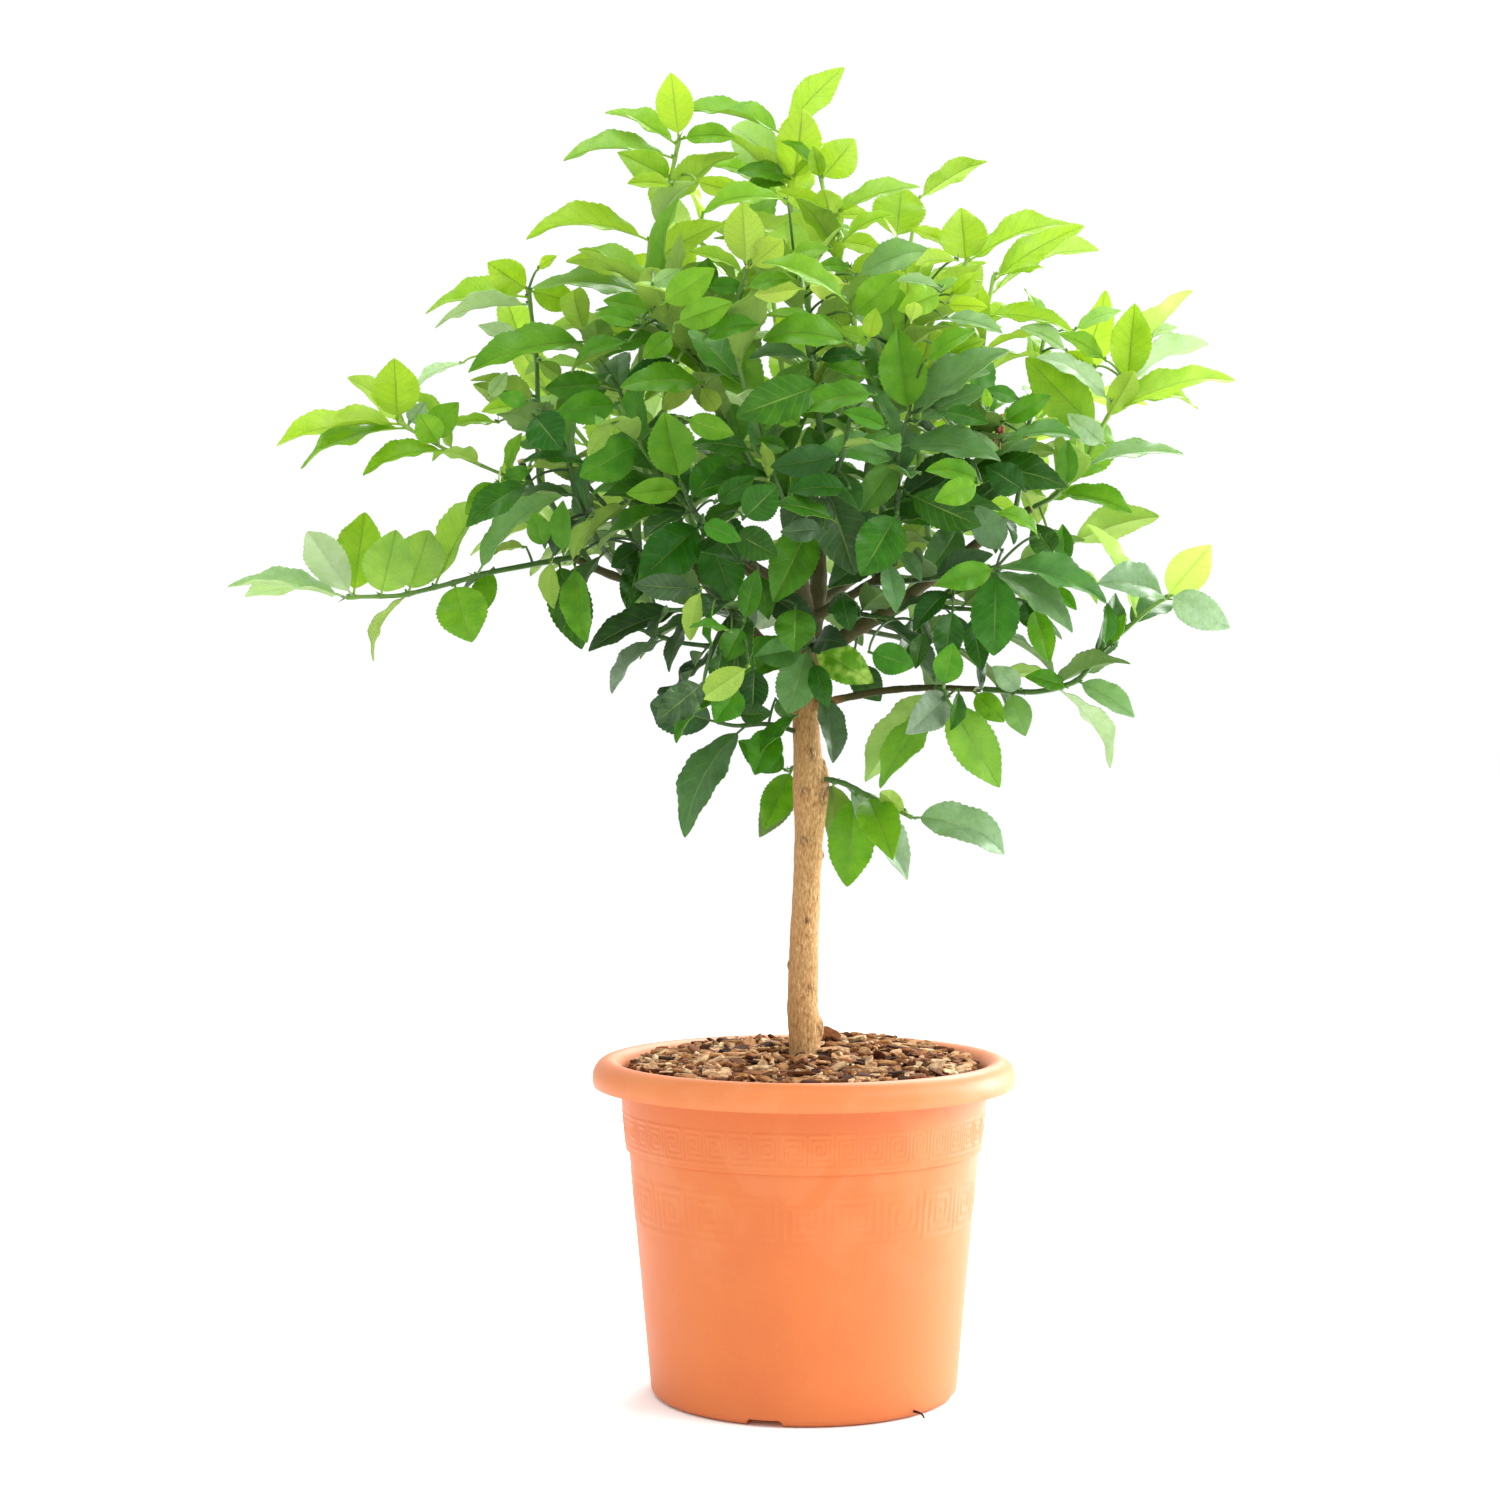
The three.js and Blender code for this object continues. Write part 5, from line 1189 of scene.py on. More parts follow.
def fused(wood, name):
    """The shapes of the wood as one skin, softened where they meet"""
    fuse = wood.modifiers.new("fuse", "REMESH")
    fuse.mode = "VOXEL"
    fuse.voxel_size = SKIN_GRAIN * MM
    fuse.use_smooth_shade = True
    soften = wood.modifiers.new("soften", "SMOOTH")
    soften.factor = 0.5
    soften.iterations = 6
    return baked(wood, name)


def roughen_bark(mesh):
    """Raises lumps and cuts fissures in the skin, and gives back where its vertices then are"""
    points = vertex_vectors(mesh, "co") / MM
    depth, width, on_stem, on_limbs = FISSURES
    tall = np.where(points[:, 2] < STEM_TOP, on_stem, on_limbs)
    wide = np.full_like(tall, width)
    wobble = 1.2 * rough(points, 30, 5)[:, None]
    fissures = rough((points + wobble) / np.column_stack((wide, wide, tall)), 1, 6)
    rise = depth * np.minimum(fissures, 0.25) + LUMPS[0] * rough(points, LUMPS[1], 7)
    rise *= np.where(np.hypot(points[:, 0], points[:, 1]) < 22, 1.0, 0.5)
    points += vertex_vectors(mesh, "normal") * rise[:, None]
    mesh.vertices.foreach_set("co", (points * MM).ravel())
    return points


def make_wood(material):
    """The stem and its limbs, grown together, with the bark's fissures in the mesh"""
    pile = Pile()
    heights, middles, girth = smooth_stem()
    route = np.column_stack((middles, 0.6 * np.sin(heights / 70), heights))
    pile.add(*tube(route, girth - 0.2, 30))
    for knot in KNOTS:
        _, _, size, _, tall = knot
        pile.add(*blob(knot_middle(knot, heights, middles), (size * 0.8, tall)))
    for name, row in LIMBS.items():
        limb = smoothed(stems[name].route)
        radii = between(row["foot"], row["end"], np.linspace(0, 1, len(limb)))
        radii *= 1 + 0.05 * np.sin(np.arange(len(limb)) * 1.7)
        if row["from"] == "trunk":
            radii[:4] += np.array((2.4, 1.6, 0.8, 0.3))
        pile.add(*tube(limb, radii, 14))
    wood = fused(pile.make("wood_shapes", [material]), "trunk_and_limbs")
    mesh = wood.data
    points = roughen_bark(mesh)
    scars = np.zeros(len(points))
    for knot in KNOTS:
        _, _, size, _, tall = knot
        reach = np.array((size, size, max(size, tall * 0.75)))
        off = (points - knot_middle(knot, heights, middles, 0.7)) / reach / 0.8
        scars = np.maximum(scars, np.exp(-((off**2).sum(axis=1))))
    scar = mesh.attributes.new("scar", "FLOAT", "POINT")
    scar.data.foreach_set("value", scars)
    mesh.update()
    mesh.shade_smooth()
    return wood


# ---- Leaves ----

ROWS_ALONG = np.concatenate((np.linspace(0, PETIOLE, 5)[:-1], np.linspace(PETIOLE, 1, 47)))
ROWS_ACROSS = np.array((-1, -0.84, -0.5, -0.12, 0, 0.12, 0.5, 0.84, 1))
TEETH = (0.0, 0.55, 1.0)  # how the small rounded teeth of the edge stand out, row by row
TOOTH_DEPTH = 0.062  # as a share of half the width
BLADE_THICKNESS = 0.65
GROOVE = (0.28, 0.9)  # depth and reach of the sunken line along the midrib
RIB_REACH = 1.3  # of the midrib under the blade
ROOTED = 1.2  # how far a stalk starts inside its stem
VEIN_PAIRS = 8
VEIN_SLANT = 1.7  # how far a side vein runs forward on its way to the edge, in vein spacings

# Where dry, crumpled leaves show from the front: x and z of their middle
CRUMPLED = ((-112, 597), (-150, 697))
CRUMPLED_REACH = 14


def leaf_faces(lines, columns):
    """Quads of a thin closed shell whose two faces are grids of points"""
    under = lines * columns
    faces = []
    for row in range(lines - 1):
        for column in range(columns - 1):
            a = row * columns + column
            b = a + columns
            faces.append((a, a + 1, b + 1, b))
            faces.append((under + a, under + b, under + b + 1, under + a + 1))
        left = row * columns
        right = left + columns - 1
        faces.append((left, left + columns, under + left + columns, under + left))
        faces.append((right + columns, right, under + right, under + right + columns))
    last = (lines - 1) * columns
    for column in range(columns - 1):
        faces.append((column + 1, column, under + column, under + column + 1))
        a = last + column
        faces.append((a, a + 1, under + a + 1, under + a))
    return faces


LEAF_FACES = leaf_faces(len(ROWS_ALONG), len(ROWS_ACROSS))


def leaf_points(leaf, random):
    """The two faces of a leaf: a folded, waved blade with teeth and sunken veins, and a round stalk"""
    along, across = np.meshgrid(ROWS_ALONG, ROWS_ACROSS, indexing="ij")
    blade = along_blade(along)
    aside = np.abs(across)
    stalk = 1 - smooth_step(PETIOLE * 0.9, PETIOLE * 1.5, along)
    row = np.arange(len(ROWS_ALONG))
    tooth = np.array(TEETH)[row % len(TEETH)][:, None] * aside**5
    outline = blade_width(along) * (1 - 0.2 * smooth_step(0.62, 1, blade)) * getattr(leaf, "slim", 1)
    outline = outline * (1 + TOOTH_DEPTH * (tooth - 0.5) * smooth_step(0.1, 0.2, blade))
    half = np.maximum(leaf.width / 2 * outline, np.where(blade > 0.5, 0.35, 1.05))
    point, face = midrib_at(leaf, along)
    twist = (between(-0.22, 0.22, random()) * (blade - 0.4))[..., None]
    side = leaf.side * np.cos(twist) + face * np.sin(twist)
    face = face * np.cos(twist) - leaf.side * np.sin(twist)
    curl = between(-0.02, 0.07, random()) * leaf.length
    arched = aside + 0.3 * aside * (1 - aside)
    wave = leaf.wave * np.sin(along * WAVES + leaf.phase + across) * aside
    fine_wave = 0.05 * np.sin(along * 26 + leaf.phase * 2 + across * 2) * aside**2
    veins = np.cos(math.tau * (VEIN_PAIRS * blade - VEIN_SLANT * aside + 0.5 * (across > 0)))
    pucker = between(0.04, 0.2, random()) * veins * aside * (1 - aside) * 4 * np.sin(math.pi * blade)
    height = half * (math.sin(leaf.fold) * arched + (wave + fine_wave) * (1 - stalk))
    height = height - curl * smooth_step(0.6, 1.0, blade) * blade + pucker * (1 - stalk)
    shows_at = as_seen(leaf.base + leaf.along * leaf.length / 2)[::2]
    if any(math.dist(shows_at, place) < CRUMPLED_REACH for place in CRUMPLED):
        folds = np.sin(along * 21 + across * 2.6) + 0.7 * np.sin(along * 9 - across * 5 + 1)
        height = height + 0.3 * half * folds * aside * (1 - stalk)
    middle = point + side * (across * half * math.cos(leaf.fold))[..., None]
    middle = middle + face * height[..., None]
    bulge = np.sqrt(np.clip(1 - across**2, 0, 1))
    groove = GROOVE[0] * np.exp(-((aside * half / GROOVE[1]) ** 2)) * (1 - stalk)
    rib = between(1.0, 0.35, blade) * np.exp(-((aside * half / RIB_REACH) ** 2)) * (1 - stalk)
    upper = middle + face * (0.6 * bulge * stalk - groove)[..., None]
    lower = middle - face * (BLADE_THICKNESS + rib + 0.5 * bulge * stalk)[..., None]
    upper[0] -= leaf.along * ROOTED
    lower[0] -= leaf.along * ROOTED
    return np.concatenate((upper.reshape(-1, 3), lower.reshape(-1, 3))), along.ravel(), across.ravel()


STEM_SIDES = 9
SWELLING = 0.22  # of the stem at a leaf, as a share of its radius
THORN_SHARE = 0.42  # of the leaves have a thorn beside them
PLAIN_SHARE = 0.93  # of the leaves carry next to no painted sheen


def stem_shell(name):
    """The rounded route of a young shoot, and its radii"""
    route = smoothed(stems[name].route, 3, 10)
    girth = stems[name].radii
    return route, np.linspace(girth[0], girth[-1], len(route)) * 0.86


def thorn(pile, base, heading, length, age):
    shares = (0, 0.4, 0.8, 1.0)
    route = np.array([base + heading * length * share for share in shares])
    pile.add(*tube(route, (0.75, 0.5, 0.25, 0.06), 6), 1, age=age, along=np.repeat(shares, 6))


def bud(pile, base, heading, age):
    route = np.array([base + heading * step for step in (0.0, 0.9, 1.8, 2.8, 3.4)])
    pile.add(*tube(route, (0.7, 1.15, 1.2, 0.7, 0.15), 7), 1, age=age - 0.2)


TONE_AGE = {"light": 0.3, "mid": 0.52, "dark": 0.8}


def painted_crown_light(base):
    """Painted light: how much lighter leaves are drawn high on the tree, below its top, and on its right
    side, where more light falls on the crown
    """
    x, _, z = base
    high = 0.2 * smooth_step(790, 920, z) - 0.28 * smooth_step(985, 1095, z)
    level = smooth_step(700, 800, z) * (1 - smooth_step(930, 990, z))
    return high + 0.07 * smooth_step(20, 150, x) * level


def leaf_age_and_light(shoot, base, place, random):
    """0 for a fresh pale leaf, 1 for an old dark one: leaves darken inwards and down the tree, and painted
    light makes them lighter high up and on the right
    """
    height = min((base[2] - 760) / 380, 0.1)
    outward = np.linalg.norm((base - CROWN_CENTRE) * (0.9, 0.9, 1.0)) / 380
    age = TONE_AGE[shoot["tone"]] - 0.62 * height - 0.3 * (outward - 0.6) - 0.14 * (place - 0.5)
    return min(1.0, max(0.0, age - painted_crown_light(base) + between(-0.19, 0.17, random())))


def side_twig(pile, leaf, age):
    """A thin twig from the shoot to a leaf that stands away from it"""
    span = leaf.base - leaf.stem
    length = np.linalg.norm(span)
    if length < 2:
        return
    bends = [
        leaf.stem + span * (aside, deep, aside) + UP * rise * length
        for aside, deep, rise in ((0.3, 0.1, 0.1), (0.7, 0.45, 0.13), (0.95, 0.8, 0.07))
    ]
    route = smoothed(np.array([leaf.stem, *bends, leaf.base]), 4, 6)
    radii = np.linspace(1.25, 0.95, len(route))
    pile.add(*tube(route, radii, 6), 1, age=age, along=np.repeat(np.linspace(0.2, 1, len(route)), 6))


# Cut twigs with pale ends, and the dried remains of flowers: foot and end as they show, their depth,
# and the radius of a twig
STUBS = {
    "left_upright": ((-233, 772), (-243, 797), -30, 3.0),
    "crown_inner_right": ((67, 840), (64, 877), -96, 3.3),
}
DRY_FLOWERS = {
    "right_mid": ((163, 812), (167, 832), -112),
    "right_upper": ((168, 806), (168, 822), -112),
}


def make_stub(pile, foot, end, depth, size):
    ends = np.array([seen(*foot, depth), seen(*end, depth)])
    route = np.concatenate((np.linspace(ends[0], ends[1], 8), ends[1:] + (ends[1] - ends[0]) * 0.01))
    shell = tube(route, [size] * 8 + [size * 0.9], 10, 0.06)
    pile.add(*shell, 1, age=0.7, pale=np.repeat([0.0] * 7 + [1.0] * 2, 10))


def make_dry_flower(pile, foot, end, depth):
    stalk = np.linspace(seen(*foot, depth), seen(*end, depth), 5)
    pile.add(*tube(stalk, [0.9] * 5, 6), 1, age=1.0)
    for step in range(4):
        aside = np.array((math.cos(step * 2.1), math.sin(step * 2.1), 0.3 * step - 0.2)) * 2.4
        pile.add(*blob(stalk[-1] + aside, (1.9, 2.6), 8, 6), 1, age=1.3)


def add_leaf(pile, leaf, age, random):
    points, along, across = leaf_points(leaf, random)
    pile.add(
        points, LEAF_FACES, 0, age=age, tint=random(), under=np.repeat((0.0, 1.0), len(along)),
        along=np.tile(along, 2), across=np.tile(across, 2),
        yellow=getattr(leaf, "yellow", 0.0),
        # pale is the share of painted sheen on the leaf
        pale=getattr(leaf, "pale", 0.12 * random() if random() < PLAIN_SHARE else 0.6),
    )


def make_shoot(name, shoot, leaves, order, materials):
    """A stem with its leaves, and a bud and now and then a thorn beside each"""
    pile = Pile("age", "tint", "under", "along", "across", "yellow", "pale")
    route, radii = stem_shell(name)
    homes = [closest(route, leaf.base) for leaf in leaves]
    # It swells where each leaf stands on it
    for leaf, home in zip(leaves, homes):
        if not hasattr(leaf, "stem"):
            radii = radii * (1 + SWELLING * np.exp(-(((np.arange(len(route)) - home) / 1.2) ** 2)))
    young = TONE_AGE[shoot["tone"]]
    along = np.repeat(np.linspace(0, 1, len(route)), STEM_SIDES)
    pile.add(*tube(route, radii, STEM_SIDES, 0.1), 1, age=young, along=along)
    for number, (leaf, home) in enumerate(zip(leaves, homes)):
        random = dice(DRESSING_SEED + order * 97 + number)
        place = home / len(route)
        # The age also carries painted light from the crown
        age = leaf_age_and_light(shoot, leaf.base, place, random)
        if hasattr(leaf, "age"):
            age = leaf.age + 0.06 * (random() - 0.5) - painted_crown_light(leaf.base)
        stem_way = unit(route[min(home + 1, len(route) - 1)] - route[max(home - 1, 0)])
        girth = radii[home]
        if hasattr(leaf, "stem"):
            side_twig(pile, leaf, young)
            girth = 1.0
        else:
            leaf.base = route[home]
        add_leaf(pile, leaf, age, random)
        axil = unit(leaf.along + stem_way * 0.7)
        bud(pile, leaf.base + axil * girth * 0.7, axil, young)
        if random() < THORN_SHARE:
            aside = unit(np.cross(stem_way, leaf.along) + stem_way * 0.8 + leaf.along * 0.3)
            thorn(pile, leaf.base + aside * girth * 0.5, aside, between(4, 9, random()), young)
    if name in STUBS:
        make_stub(pile, *STUBS[name])
    if name in DRY_FLOWERS:
        make_dry_flower(pile, *DRY_FLOWERS[name])
    return pile.make(f"{name}_leaves", materials)


# ---- Materials ----


def colour(code):
    """An sRGB hex colour as the linear colour that a shader takes"""
    channels = [int(code[start : start + 2], 16) / 255 for start in (0, 2, 4)]
    return (*(c / 12.92 if c <= 0.04045 else ((c + 0.055) / 1.055) ** 2.4 for c in channels), 1.0)


def new_material(name):
    material = bpy.data.materials.new(name)
    material.use_nodes = True
    material.node_tree.nodes.clear()
    return material


def add(material, kind, inputs=(), ramp=(), **settings):
    """Adds a node with its settings. Its inputs are colours, numbers, or nodes and sockets to link."""
    tree = material.node_tree
    made = tree.nodes.new("ShaderNode" + kind)
    for setting, value in settings.items():
        setattr(made, setting, value)
    for index, (place, code) in enumerate(ramp):
        element = made.color_ramp.elements[index] if index < 2 else made.color_ramp.elements.new(place)
        element.position = place
        element.color = colour(code)
    for key, value in dict(inputs).items():
        named = [socket for socket in made.inputs if socket.enabled and socket.name == key]
        socket = made.inputs[key] if isinstance(key, int) else named[0]
        if isinstance(value, bpy.types.Node):
            value = next(output for output in value.outputs if output.enabled)
        if isinstance(value, bpy.types.NodeSocket):
            tree.links.new(value, socket)
        else:
            socket.default_value = colour(value) if isinstance(value, str) else value
    return made


def per_metre(millimetres):
    """The scale of a pattern in object coordinates whose features are that many millimetres wide"""
    return 1000 / millimetres


def place_in(material):
    """Where a point is in the object, in metres"""
    return add(material, "TexCoord").outputs["Object"]


def part_of(material, vector, axis):
    """One of a vector's three numbers"""
    return add(material, "SeparateXYZ", {"Vector": vector}).outputs[axis]


def mesh_value(material, name):
    """A number that the mesh holds at its points"""
    return add(material, "Attribute", attribute_name=name).outputs["Fac"]


def lumps(material, place, wide, detail, **more):
    """Soft noise with lumps about that many millimetres wide"""
    inputs = {"Vector": place, "Scale": per_metre(wide), "Detail": detail}
    inputs.update((key.title(), value) for key, value in more.items())
    return add(material, "TexNoise", inputs)


def ranged(material, value, source=(0.0, 1.0), target=(0.0, 1.0), **settings):
    """Carries a value from one range to another, and keeps it within that"""
    inputs = {"Value": value, "From Min": source[0], "From Max": source[1]}
    inputs.update({"To Min": target[0], "To Max": target[1]})
    return add(material, "MapRange", inputs, **settings)


def maths(material, operation, *values, **settings):
    return add(material, "Math", dict(enumerate(values)), operation=operation, **settings)


def mixed(material, share, first, second):
    """The first colour, with a share of the second"""
    return add(material, "Mix", {"Factor": share, "A": first, "B": second}, data_type="RGBA")


def ramped(material, value, text):
    """The colour at a value from 0 to 1 of a ramp, whose text gives places and their colours"""
    stops = [stop.split() for stop in text.split(",")]
    return add(material, "ValToRGB", {"Fac": value}, [(float(place), code) for place, code in stops])


def tinged(material, body, value, source, most, code):
    """The body with up to the most of another colour, as the value runs through its range"""
    return mixed(material, ranged(material, value, source, (0.0, most)), body, code)


def bumps(material, height, strength, distance):
    return add(material, "Bump", {"Height": height, "Strength": strength, "Distance": distance})


def solid(material, body, roughness, normal=None, specular=None, ior=None):
    """The shader of a solid, with how much it mirrors or the index by which it bends light"""
    inputs = {"Base Color": body, "Roughness": roughness, "Specular IOR Level": specular}
    inputs |= {"Normal": normal, "IOR": ior}
    used = {name: value for name, value in inputs.items() if value is not None}
    return add(material, "BsdfPrincipled", used)


def finished(material, shader):
    """The material, with that shader for its surface"""
    add(material, "OutputMaterial", {"Surface": shader})
    return material


def terracotta_coloured_polypropylene():
    """Injection-moulded plastic: even orange with a faint cloudiness, a soft sheen on curved edges,
    a very fine eggshell grain from the mould, and dust that gathers at the foot. Painted light pales its
    right side and, with dust, its rim."""
    material = new_material("terracotta_coloured_moulded_polypropylene")
    place = place_in(material)
    clouds = lumps(material, place, 70, 3.0, roughness=0.6)
    body = ramped(material, clouds, "0.3 c56427, 0.72 ca6b2b")
    specks = lumps(material, place, 2.6, 2.0)
    speckled = tinged(material, body, specks, (0.6, 0.8), 0.2, "d98a52")
    height = part_of(material, place, "Z")
    low = ranged(material, height, (0.002, 0.03), (0.5, 0.0))
    drift = lumps(material, place, 14, 5.0, roughness=0.7)
    dust = maths(material, "MULTIPLY", low, drift)
    dusty = mixed(material, dust, speckled, "b0602f")
    # Painted light pales the right side as if lit from the right, and the rim partly with dust and partly
    # with a painted highlight; handling leaves pale smears higher on the wall
    right = part_of(material, place, "X")
    painted_light_right = ranged(material, right, (0.02, 0.17), (0.0, 0.07))
    rim_dust_and_highlight = ranged(material, height, (0.256, 0.266), (0.0, 0.09))
    smears = lumps(material, place, 52, 3.0, distortion=0.8)
    smear = ranged(material, smears, (0.5, 0.6), (0.0, 0.05))
    worn = ranged(material, height, (0.1, 0.17), (0.25, 1.0))
    smeared = maths(material, "MULTIPLY", smear, worn)
    # Painted light on the right side, with the rim's dust and painted highlight
    sides = maths(material, "ADD", painted_light_right, rim_dust_and_highlight)
    bleach_and_painted_light = maths(material, "ADD", sides, smeared)
    bleached_and_lit = mixed(material, bleach_and_painted_light, dusty, "f2bc8a")
    sheen = ranged(material, clouds, (0.25, 0.75), (0.42, 0.56))
    grain = lumps(material, place, 0.9, 2.0)
    ripples = lumps(material, place, 24, 2.0)
    relief = maths(material, "MULTIPLY_ADD", grain, 0.12, ripples)
    bump = bumps(material, relief, 0.22, 0.0012)
    return finished(material, solid(material, bleached_and_lit, sheen, bump, ior=1.49))


def dark_compost(name, pale, dark, grit):
    """Damp peat and fine bark: near-black crumbs with brown fibres, quite without gloss."""
    material = new_material(name)
    place = place_in(material)
    crumbs = lumps(material, place, grit, 5.0, roughness=0.7)
    body = ramped(material, crumbs, f"0.36 {dark}, 0.66 {pale}")
    bump = bumps(material, crumbs, 0.8, 0.003)
    return finished(material, solid(material, body, 0.95, bump, specular=0.2))


def bark_chips():
    """Chipped bark and wood: each flake has its own brown, from charred to fresh-cut tan, with fibres
    along it and pale broken ends, dry and matt."""
    material = new_material("chipped_pine_bark")
    shade = mesh_value(material, "shade")
    along = mesh_value(material, "along")
    across = mesh_value(material, "across")
    body = ramped(material, shade, "0 2a180e, 0.1 58341f, 0.3 945f39, 0.52 bb8855, 0.72 cfa277, 1 e6c89c")
    # Fibres 1 mm apart that run the length of the flake
    flat = add(material, "CombineXYZ", {"X": along, "Y": across, "Z": shade})
    stretched = add(material, "VectorMath", {0: flat, 1: (0.09, 1.0, 7.0)}, operation="MULTIPLY")
    fibres = add(material, "TexNoise", {"Vector": stretched, "Scale": 1.0, "Detail": 4.0, "Roughness": 0.6})
    tone = ranged(material, fibres, (0.3, 0.7), (0.55, 1.35))
    place = place_in(material)
    stains = lumps(material, place, 6, 4.0)
    fibred = add(material, "VectorMath", {0: body, "Scale": tone}, operation="SCALE")
    stained = tinged(material, fibred, stains, (0.42, 0.68), 0.6, "452614")
    relief = maths(material, "ADD", fibres, stains)
    bump = bumps(material, relief, 0.7, 0.0015)
    return finished(material, solid(material, stained, 0.85, bump, specular=0.16))


def citrus_bark():
    """Young citrus bark: tan with fine upright fissures a few millimetres long and round knots, with painted
    shade that browns the side away from the light and darkens the trunk under the crown, turning to dark
    olive where the limbs are young. Matt."""
    material = new_material("young_citrus_bark")
    place = place_in(material)
    upright = add(material, "VectorMath", {0: place, 1: (1.0, 1.0, 0.3)}, operation="MULTIPLY")
    fissures = lumps(material, upright, 1.5, 5.0, roughness=0.62)
    body = ramped(material, fissures, "0.3 7d5630, 0.43 b08452, 0.56 c8a06a, 0.72 e2c394")
    patches = lumps(material, place, 30, 5.0, roughness=0.65)
    patched = tinged(material, body, patches, (0.5, 0.72), 0.35, "a58a66")
    # Painted shade: browner on the side that faces away from the light on the right
    facing = add(material, "NewGeometry").outputs["Normal"]
    sideways = part_of(material, facing, "X")
    painted_shade_away_side = tinged(material, patched, sideways, (0.5, -1.0), 0.5, "93683c")
    # Brown cracks in the knots
    scar = mesh_value(material, "scar")
    cracks = ranged(material, fissures, (0.62, 0.42), (0.1, 1.0))
    scar_share = maths(material, "MULTIPLY", scar, cracks)
    scarred = mixed(material, scar_share, painted_shade_away_side, "5d4028")
    # Painted shade: the trunk darkens towards the top, where the crown shades it
    height = part_of(material, place, "Z")
    painted_crown_shade = tinged(material, scarred, height, (0.53, 0.61), 0.6, "8a5f35")
    # Limbs up in the crown are still olive, and dark
    from_axis = add(material, "VectorMath", {0: place, 1: (1.0, 1.0, 0.0)}, operation="MULTIPLY")
    reach = add(material, "VectorMath", {0: from_axis}, operation="LENGTH").outputs["Value"]
    outer = ranged(material, reach, (0.02, 0.04), (0.0, 0.93))
    upper = ranged(material, height, (0.6, 0.635), (0.0, 0.93))
    green = maths(material, "MAXIMUM", outer, upper)
    aged = mixed(material, green, painted_crown_shade, "353a1c")
    pores = add(material, "TexVoronoi", {"Vector": place, "Scale": per_metre(3.2)})
    relief = maths(material, "MULTIPLY_ADD", pores, 0.3, fissures)
    bump = bumps(material, relief, 0.7, 0.0014)
    gloss = ranged(material, patches, (0.3, 0.7), (0.66, 0.85))
    return finished(material, solid(material, aged, gloss, bump, specular=0.24))


def green_shoot_bark():
    """Young twigs, thorns and buds: fresh waxy green that turns olive and woody with age, with fine
    pale specks and streaks along the twig."""
    material = new_material("green_citrus_twig")
    place = place_in(material)
    age = mesh_value(material, "age")
    along = mesh_value(material, "along")
    ripe = maths(material, "MULTIPLY_ADD", along, -0.35, age)
    body = ramped(material, ripe, "0 86a845, 0.3 4c7230, 0.6 355327, 0.9 3f4226, 1 8a5638")
    streaks = lumps(material, place, 2.2, 3.0)
    streaked = tinged(material, body, streaks, (0.55, 0.75), 0.4, "7d9852")
    # Cut ends show pale wood
    cut = mesh_value(material, "pale")
    ended = mixed(material, cut, streaked, "dcc090")
    bump = bumps(material, streaks, 0.4, 0.0006)
    wax = ranged(material, streaks, (0.3, 0.7), (0.42, 0.6))
    return finished(material, solid(material, ended, wax, bump, specular=0.3))


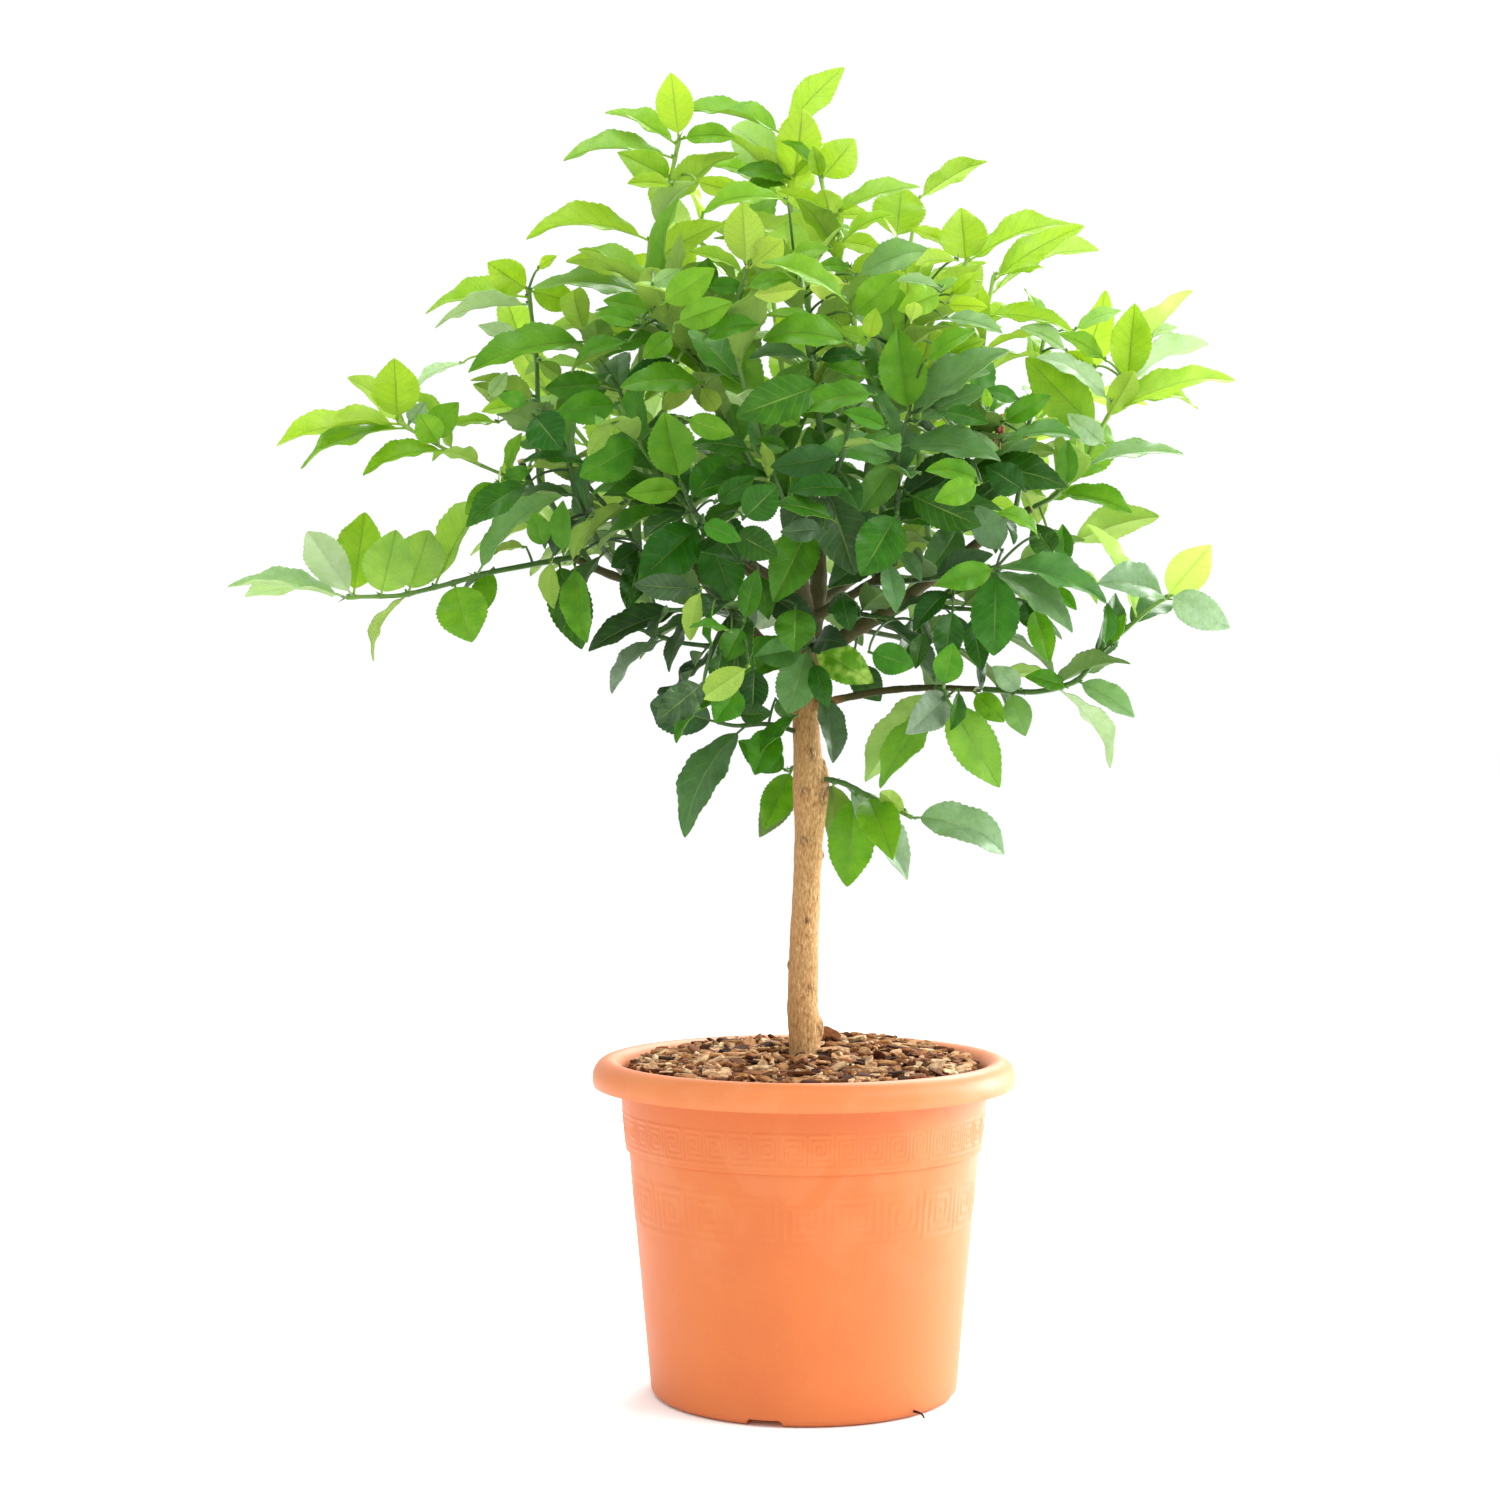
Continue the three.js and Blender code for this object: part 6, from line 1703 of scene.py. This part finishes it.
def waxy_citrus_leaf():
    """Citrus leaf: leathery and waxy above, paler and matt below. Fresh leaves are yellow-green and let
    the light through, old ones are deep green. Pale midrib and side veins run to a toothed edge."""
    material = new_material("waxy_citrus_leaf")
    read = {
        name: mesh_value(material, name)
        for name in ("age", "tint", "under", "along", "across", "yellow", "pale")
    }
    place = place_in(material)

    # Veins: the midrib, and side veins that slant forward, a step apart on the two sides
    aside = maths(material, "ABSOLUTE", read["across"])
    right = maths(material, "GREATER_THAN", read["across"], 0.0)
    blade = ranged(material, read["along"], (PETIOLE, 1.0))
    counted = maths(material, "MULTIPLY", blade, float(VEIN_PAIRS))
    slanted = maths(material, "MULTIPLY_ADD", aside, -VEIN_SLANT, counted)
    shifted = maths(material, "MULTIPLY_ADD", right, 0.5, slanted)
    from_vein = maths(material, "PINGPONG", shifted, 0.5)
    side_vein = ranged(material, from_vein, (0.02, 0.13), (1.0, 0.0), interpolation_type="SMOOTHSTEP")
    midrib = ranged(material, aside, (0.015, 0.06), (1.0, 0.0), interpolation_type="SMOOTHSTEP")
    faint = maths(material, "MULTIPLY", side_vein, 0.24)
    veins = maths(material, "MAXIMUM", faint, midrib)

    # The upper face darkens with age, in soft patches 14 mm wide; the age also carries painted light from
    # the crown
    patches = lumps(material, place, 14, 3.0, roughness=0.6)
    uneven = ranged(material, patches, (0.3, 0.7), (-0.07, 0.07))
    aged = maths(material, "ADD", read["age"], uneven, use_clamp=True)
    upper = ramped(material, aged, "0 a6c83c, 0.25 7bb02a, 0.5 4c8f18, 0.75 2c670f, 1 1b450b")
    lower = ramped(material, aged, "0 bbd263, 0.4 98b650, 0.7 76983b, 1 557a31")
    face = mixed(material, read["under"], upper, lower)
    vein_share = maths(material, "MULTIPLY", veins, 0.36)
    veined = mixed(material, vein_share, face, "a9cb62")
    # Yellow comes in blotches until it covers the leaf
    blotches = lumps(material, place, 16, 3.0)
    spread = maths(material, "MULTIPLY_ADD", read["yellow"], 0.9, blotches)
    yellow = ranged(material, spread, (0.88, 1.06), (0.0, 0.9))
    yellowed = mixed(material, yellow, veined, "cfe878")
    hue = ranged(material, read["tint"], target=(0.488, 0.512))
    value = ranged(material, read["tint"], target=(1.16, 0.84))
    tinted = add(material, "HueSaturation", {"Hue": hue, "Value": value, "Color": yellowed})
    # Painted sheen: some leaves are mixed in patches towards a whitish green, standing for the white
    # surroundings mirrored in their wax
    painted_sheen_patches = lumps(material, place, 5, 4.0, roughness=0.7)
    painted_sheen_share = ranged(material, painted_sheen_patches, (0.25, 0.7), (0.45, 0.85))
    painted_sheen = maths(material, "MULTIPLY", read["pale"], painted_sheen_share)
    body = mixed(material, painted_sheen, tinted, "c9dac6")

    # Light that comes through is yellower than light that is sent back
    glow = ramped(material, aged, "0 d2e94e, 0.3 b0d538, 0.6 7cac26, 1 3d6c16")
    through = mixed(material, yellow, glow, "d2f29a")
    net = add(material, "TexVoronoi", {"Vector": place, "Scale": per_metre(2.4)}, feature="DISTANCE_TO_EDGE")
    mesh_share = ranged(material, net, (0.0, 0.12), (0.82, 1.0))
    # Veins are thicker than the blade and let less light through
    let_through = maths(material, "MULTIPLY_ADD", veins, -0.42, mesh_share)
    netted = add(material, "VectorMath", {0: through, "Scale": let_through}, operation="SCALE")
    # Painted sheen also pales the light that comes through
    glowing = mixed(material, painted_sheen, netted, "d9e8cf")

    # Sunken veins and a leathery net between them
    net_rise = maths(material, "MULTIPLY", net, 0.3)
    relief = maths(material, "SUBTRACT", net_rise, veins)
    bump = bumps(material, relief, 0.5, 0.0006)
    matt = ranged(material, patches, (0.3, 0.7), (0.3, 0.42))
    gloss = maths(material, "MULTIPLY_ADD", read["under"], 0.28, matt)
    skin = solid(material, body, gloss, bump, specular=0.24)
    lit = add(material, "BsdfTranslucent", {"Color": glowing, "Normal": bump})
    thin = ranged(material, read["age"], target=(0.52, 0.3))
    shader = add(material, "MixShader", {0: thin, 1: skin, 2: lit})
    return finished(material, shader)


# ---- Studio: floor, light and camera ----

FLOOR_HEIGHT = -0.2  # a hair below the foot of the pot
PHOTO_SIZE = 1500
FOCAL_PIXELS = 2800  # the lens, in pixels of the photograph
HORIZON = 707  # the photograph's row at the height of the camera


def make_floor():
    """A pale matt floor, wide enough to reach the horizon"""
    sides, radii = 64, (1, 600, 1500, 4000, 12000, 40000)
    faces = [face[::-1] for face in loft([sides] * len(radii))]
    pile = Pile()
    pile.add(stack([(radius, FLOOR_HEIGHT) for radius in radii], sides), [*faces, list(range(sides))])
    material = new_material("pale_studio_floor")
    place = place_in(material)
    clouds = lumps(material, place, 400, 2.0)
    body = ramped(material, clouds, "0.3 fafafa, 0.7 fdfdfd")
    finished(material, solid(material, body, 0.9, specular=0.1))
    floor = pile.make("studio_floor", [material])


# Soft boxes: place and target in metres, size in metres, power in watts
LAMPS = {
    "key_right": ((2.4, -1.2, 2.1), (0.0, 0.0, 0.5), 1.8, 58),
    "fill_left": ((-2.4, -1.9, 1.5), (0.0, 0.0, 0.55), 2.2, 8),
    "back_high": ((0.9, 2.3, 2.6), (0.0, 0.0, 0.8), 2.0, 120),
    "rim_right": ((2.4, 1.1, 0.8), (0.0, 0.0, 0.35), 1.4, 80),
    "top_soft": ((-0.3, -0.3, 3.2), (0.0, 0.0, 0.7), 1.8, 40),
}


def make_lamps():
    for name, (place, target, size, power) in LAMPS.items():
        light = bpy.data.lights.new(name, "AREA")
        light.shape = "DISK"
        light.size = size
        light.energy = power
        lamp = placed_object(name, light)
        lamp.location = place
        lamp.rotation_euler = (Vector(target) - Vector(place)).to_track_quat("-Z", "Y").to_euler()


def make_world():
    """White all round, as in a lit studio tent"""
    world = bpy.data.worlds.new("white_studio")
    world.use_nodes = True
    world.node_tree.nodes["Background"].inputs["Color"].default_value = (1, 1, 1, 1)
    world.node_tree.nodes["Background"].inputs["Strength"].default_value = 1.04
    bpy.context.scene.world = world


def make_camera():
    """Level with the crown, looking straight back; the lens is shifted down to take in the pot"""
    lens = bpy.data.cameras.new("photo_camera")
    lens.sensor_width = 36
    lens.lens = 36 * FOCAL_PIXELS / PHOTO_SIZE
    lens.shift_y = -(PHOTO_SIZE / 2 - HORIZON) / PHOTO_SIZE
    camera = placed_object("photo_camera", lens)
    camera.location = Vector(VIEW) * MM
    camera.rotation_euler = (math.pi / 2, 0, 0)
    bpy.context.scene.camera = camera


# ---- Putting it together ----


def make_plant():
    grow_stems()
    leaves = grow_leaves()
    pot = make_pot(terracotta_coloured_polypropylene())
    finish_piece(pot, "pot_plastic", "pot")
    finish_piece(make_soil(dark_compost("damp_compost", "4a3526", "1c130d", 3)), "compost", "soil")
    # The fines are near-black partly for their own colour and partly as painted shade in the gaps between
    # the chips
    fines = dark_compost("bark_fines_with_gap_shade", "4a2d1a", "150b06", 4)
    finish_piece(make_mulch(bark_chips(), fines), "bark_mulch", "mulch")
    finish_piece(make_wood(citrus_bark()), "bark", "trunk")
    finishes = [waxy_citrus_leaf(), green_shoot_bark()]
    for order, (name, shoot) in enumerate(SHOOTS.items()):
        piece = make_shoot(name, shoot, leaves[name], order, finishes)
        finish_piece(piece, "leaf_" + shoot["tone"], "shoot_" + name)


make_plant()
make_floor()
make_lamps()
make_world()
make_camera()
bpy.context.scene.view_settings.view_transform = "Standard"

bpy.context.view_layer.update()
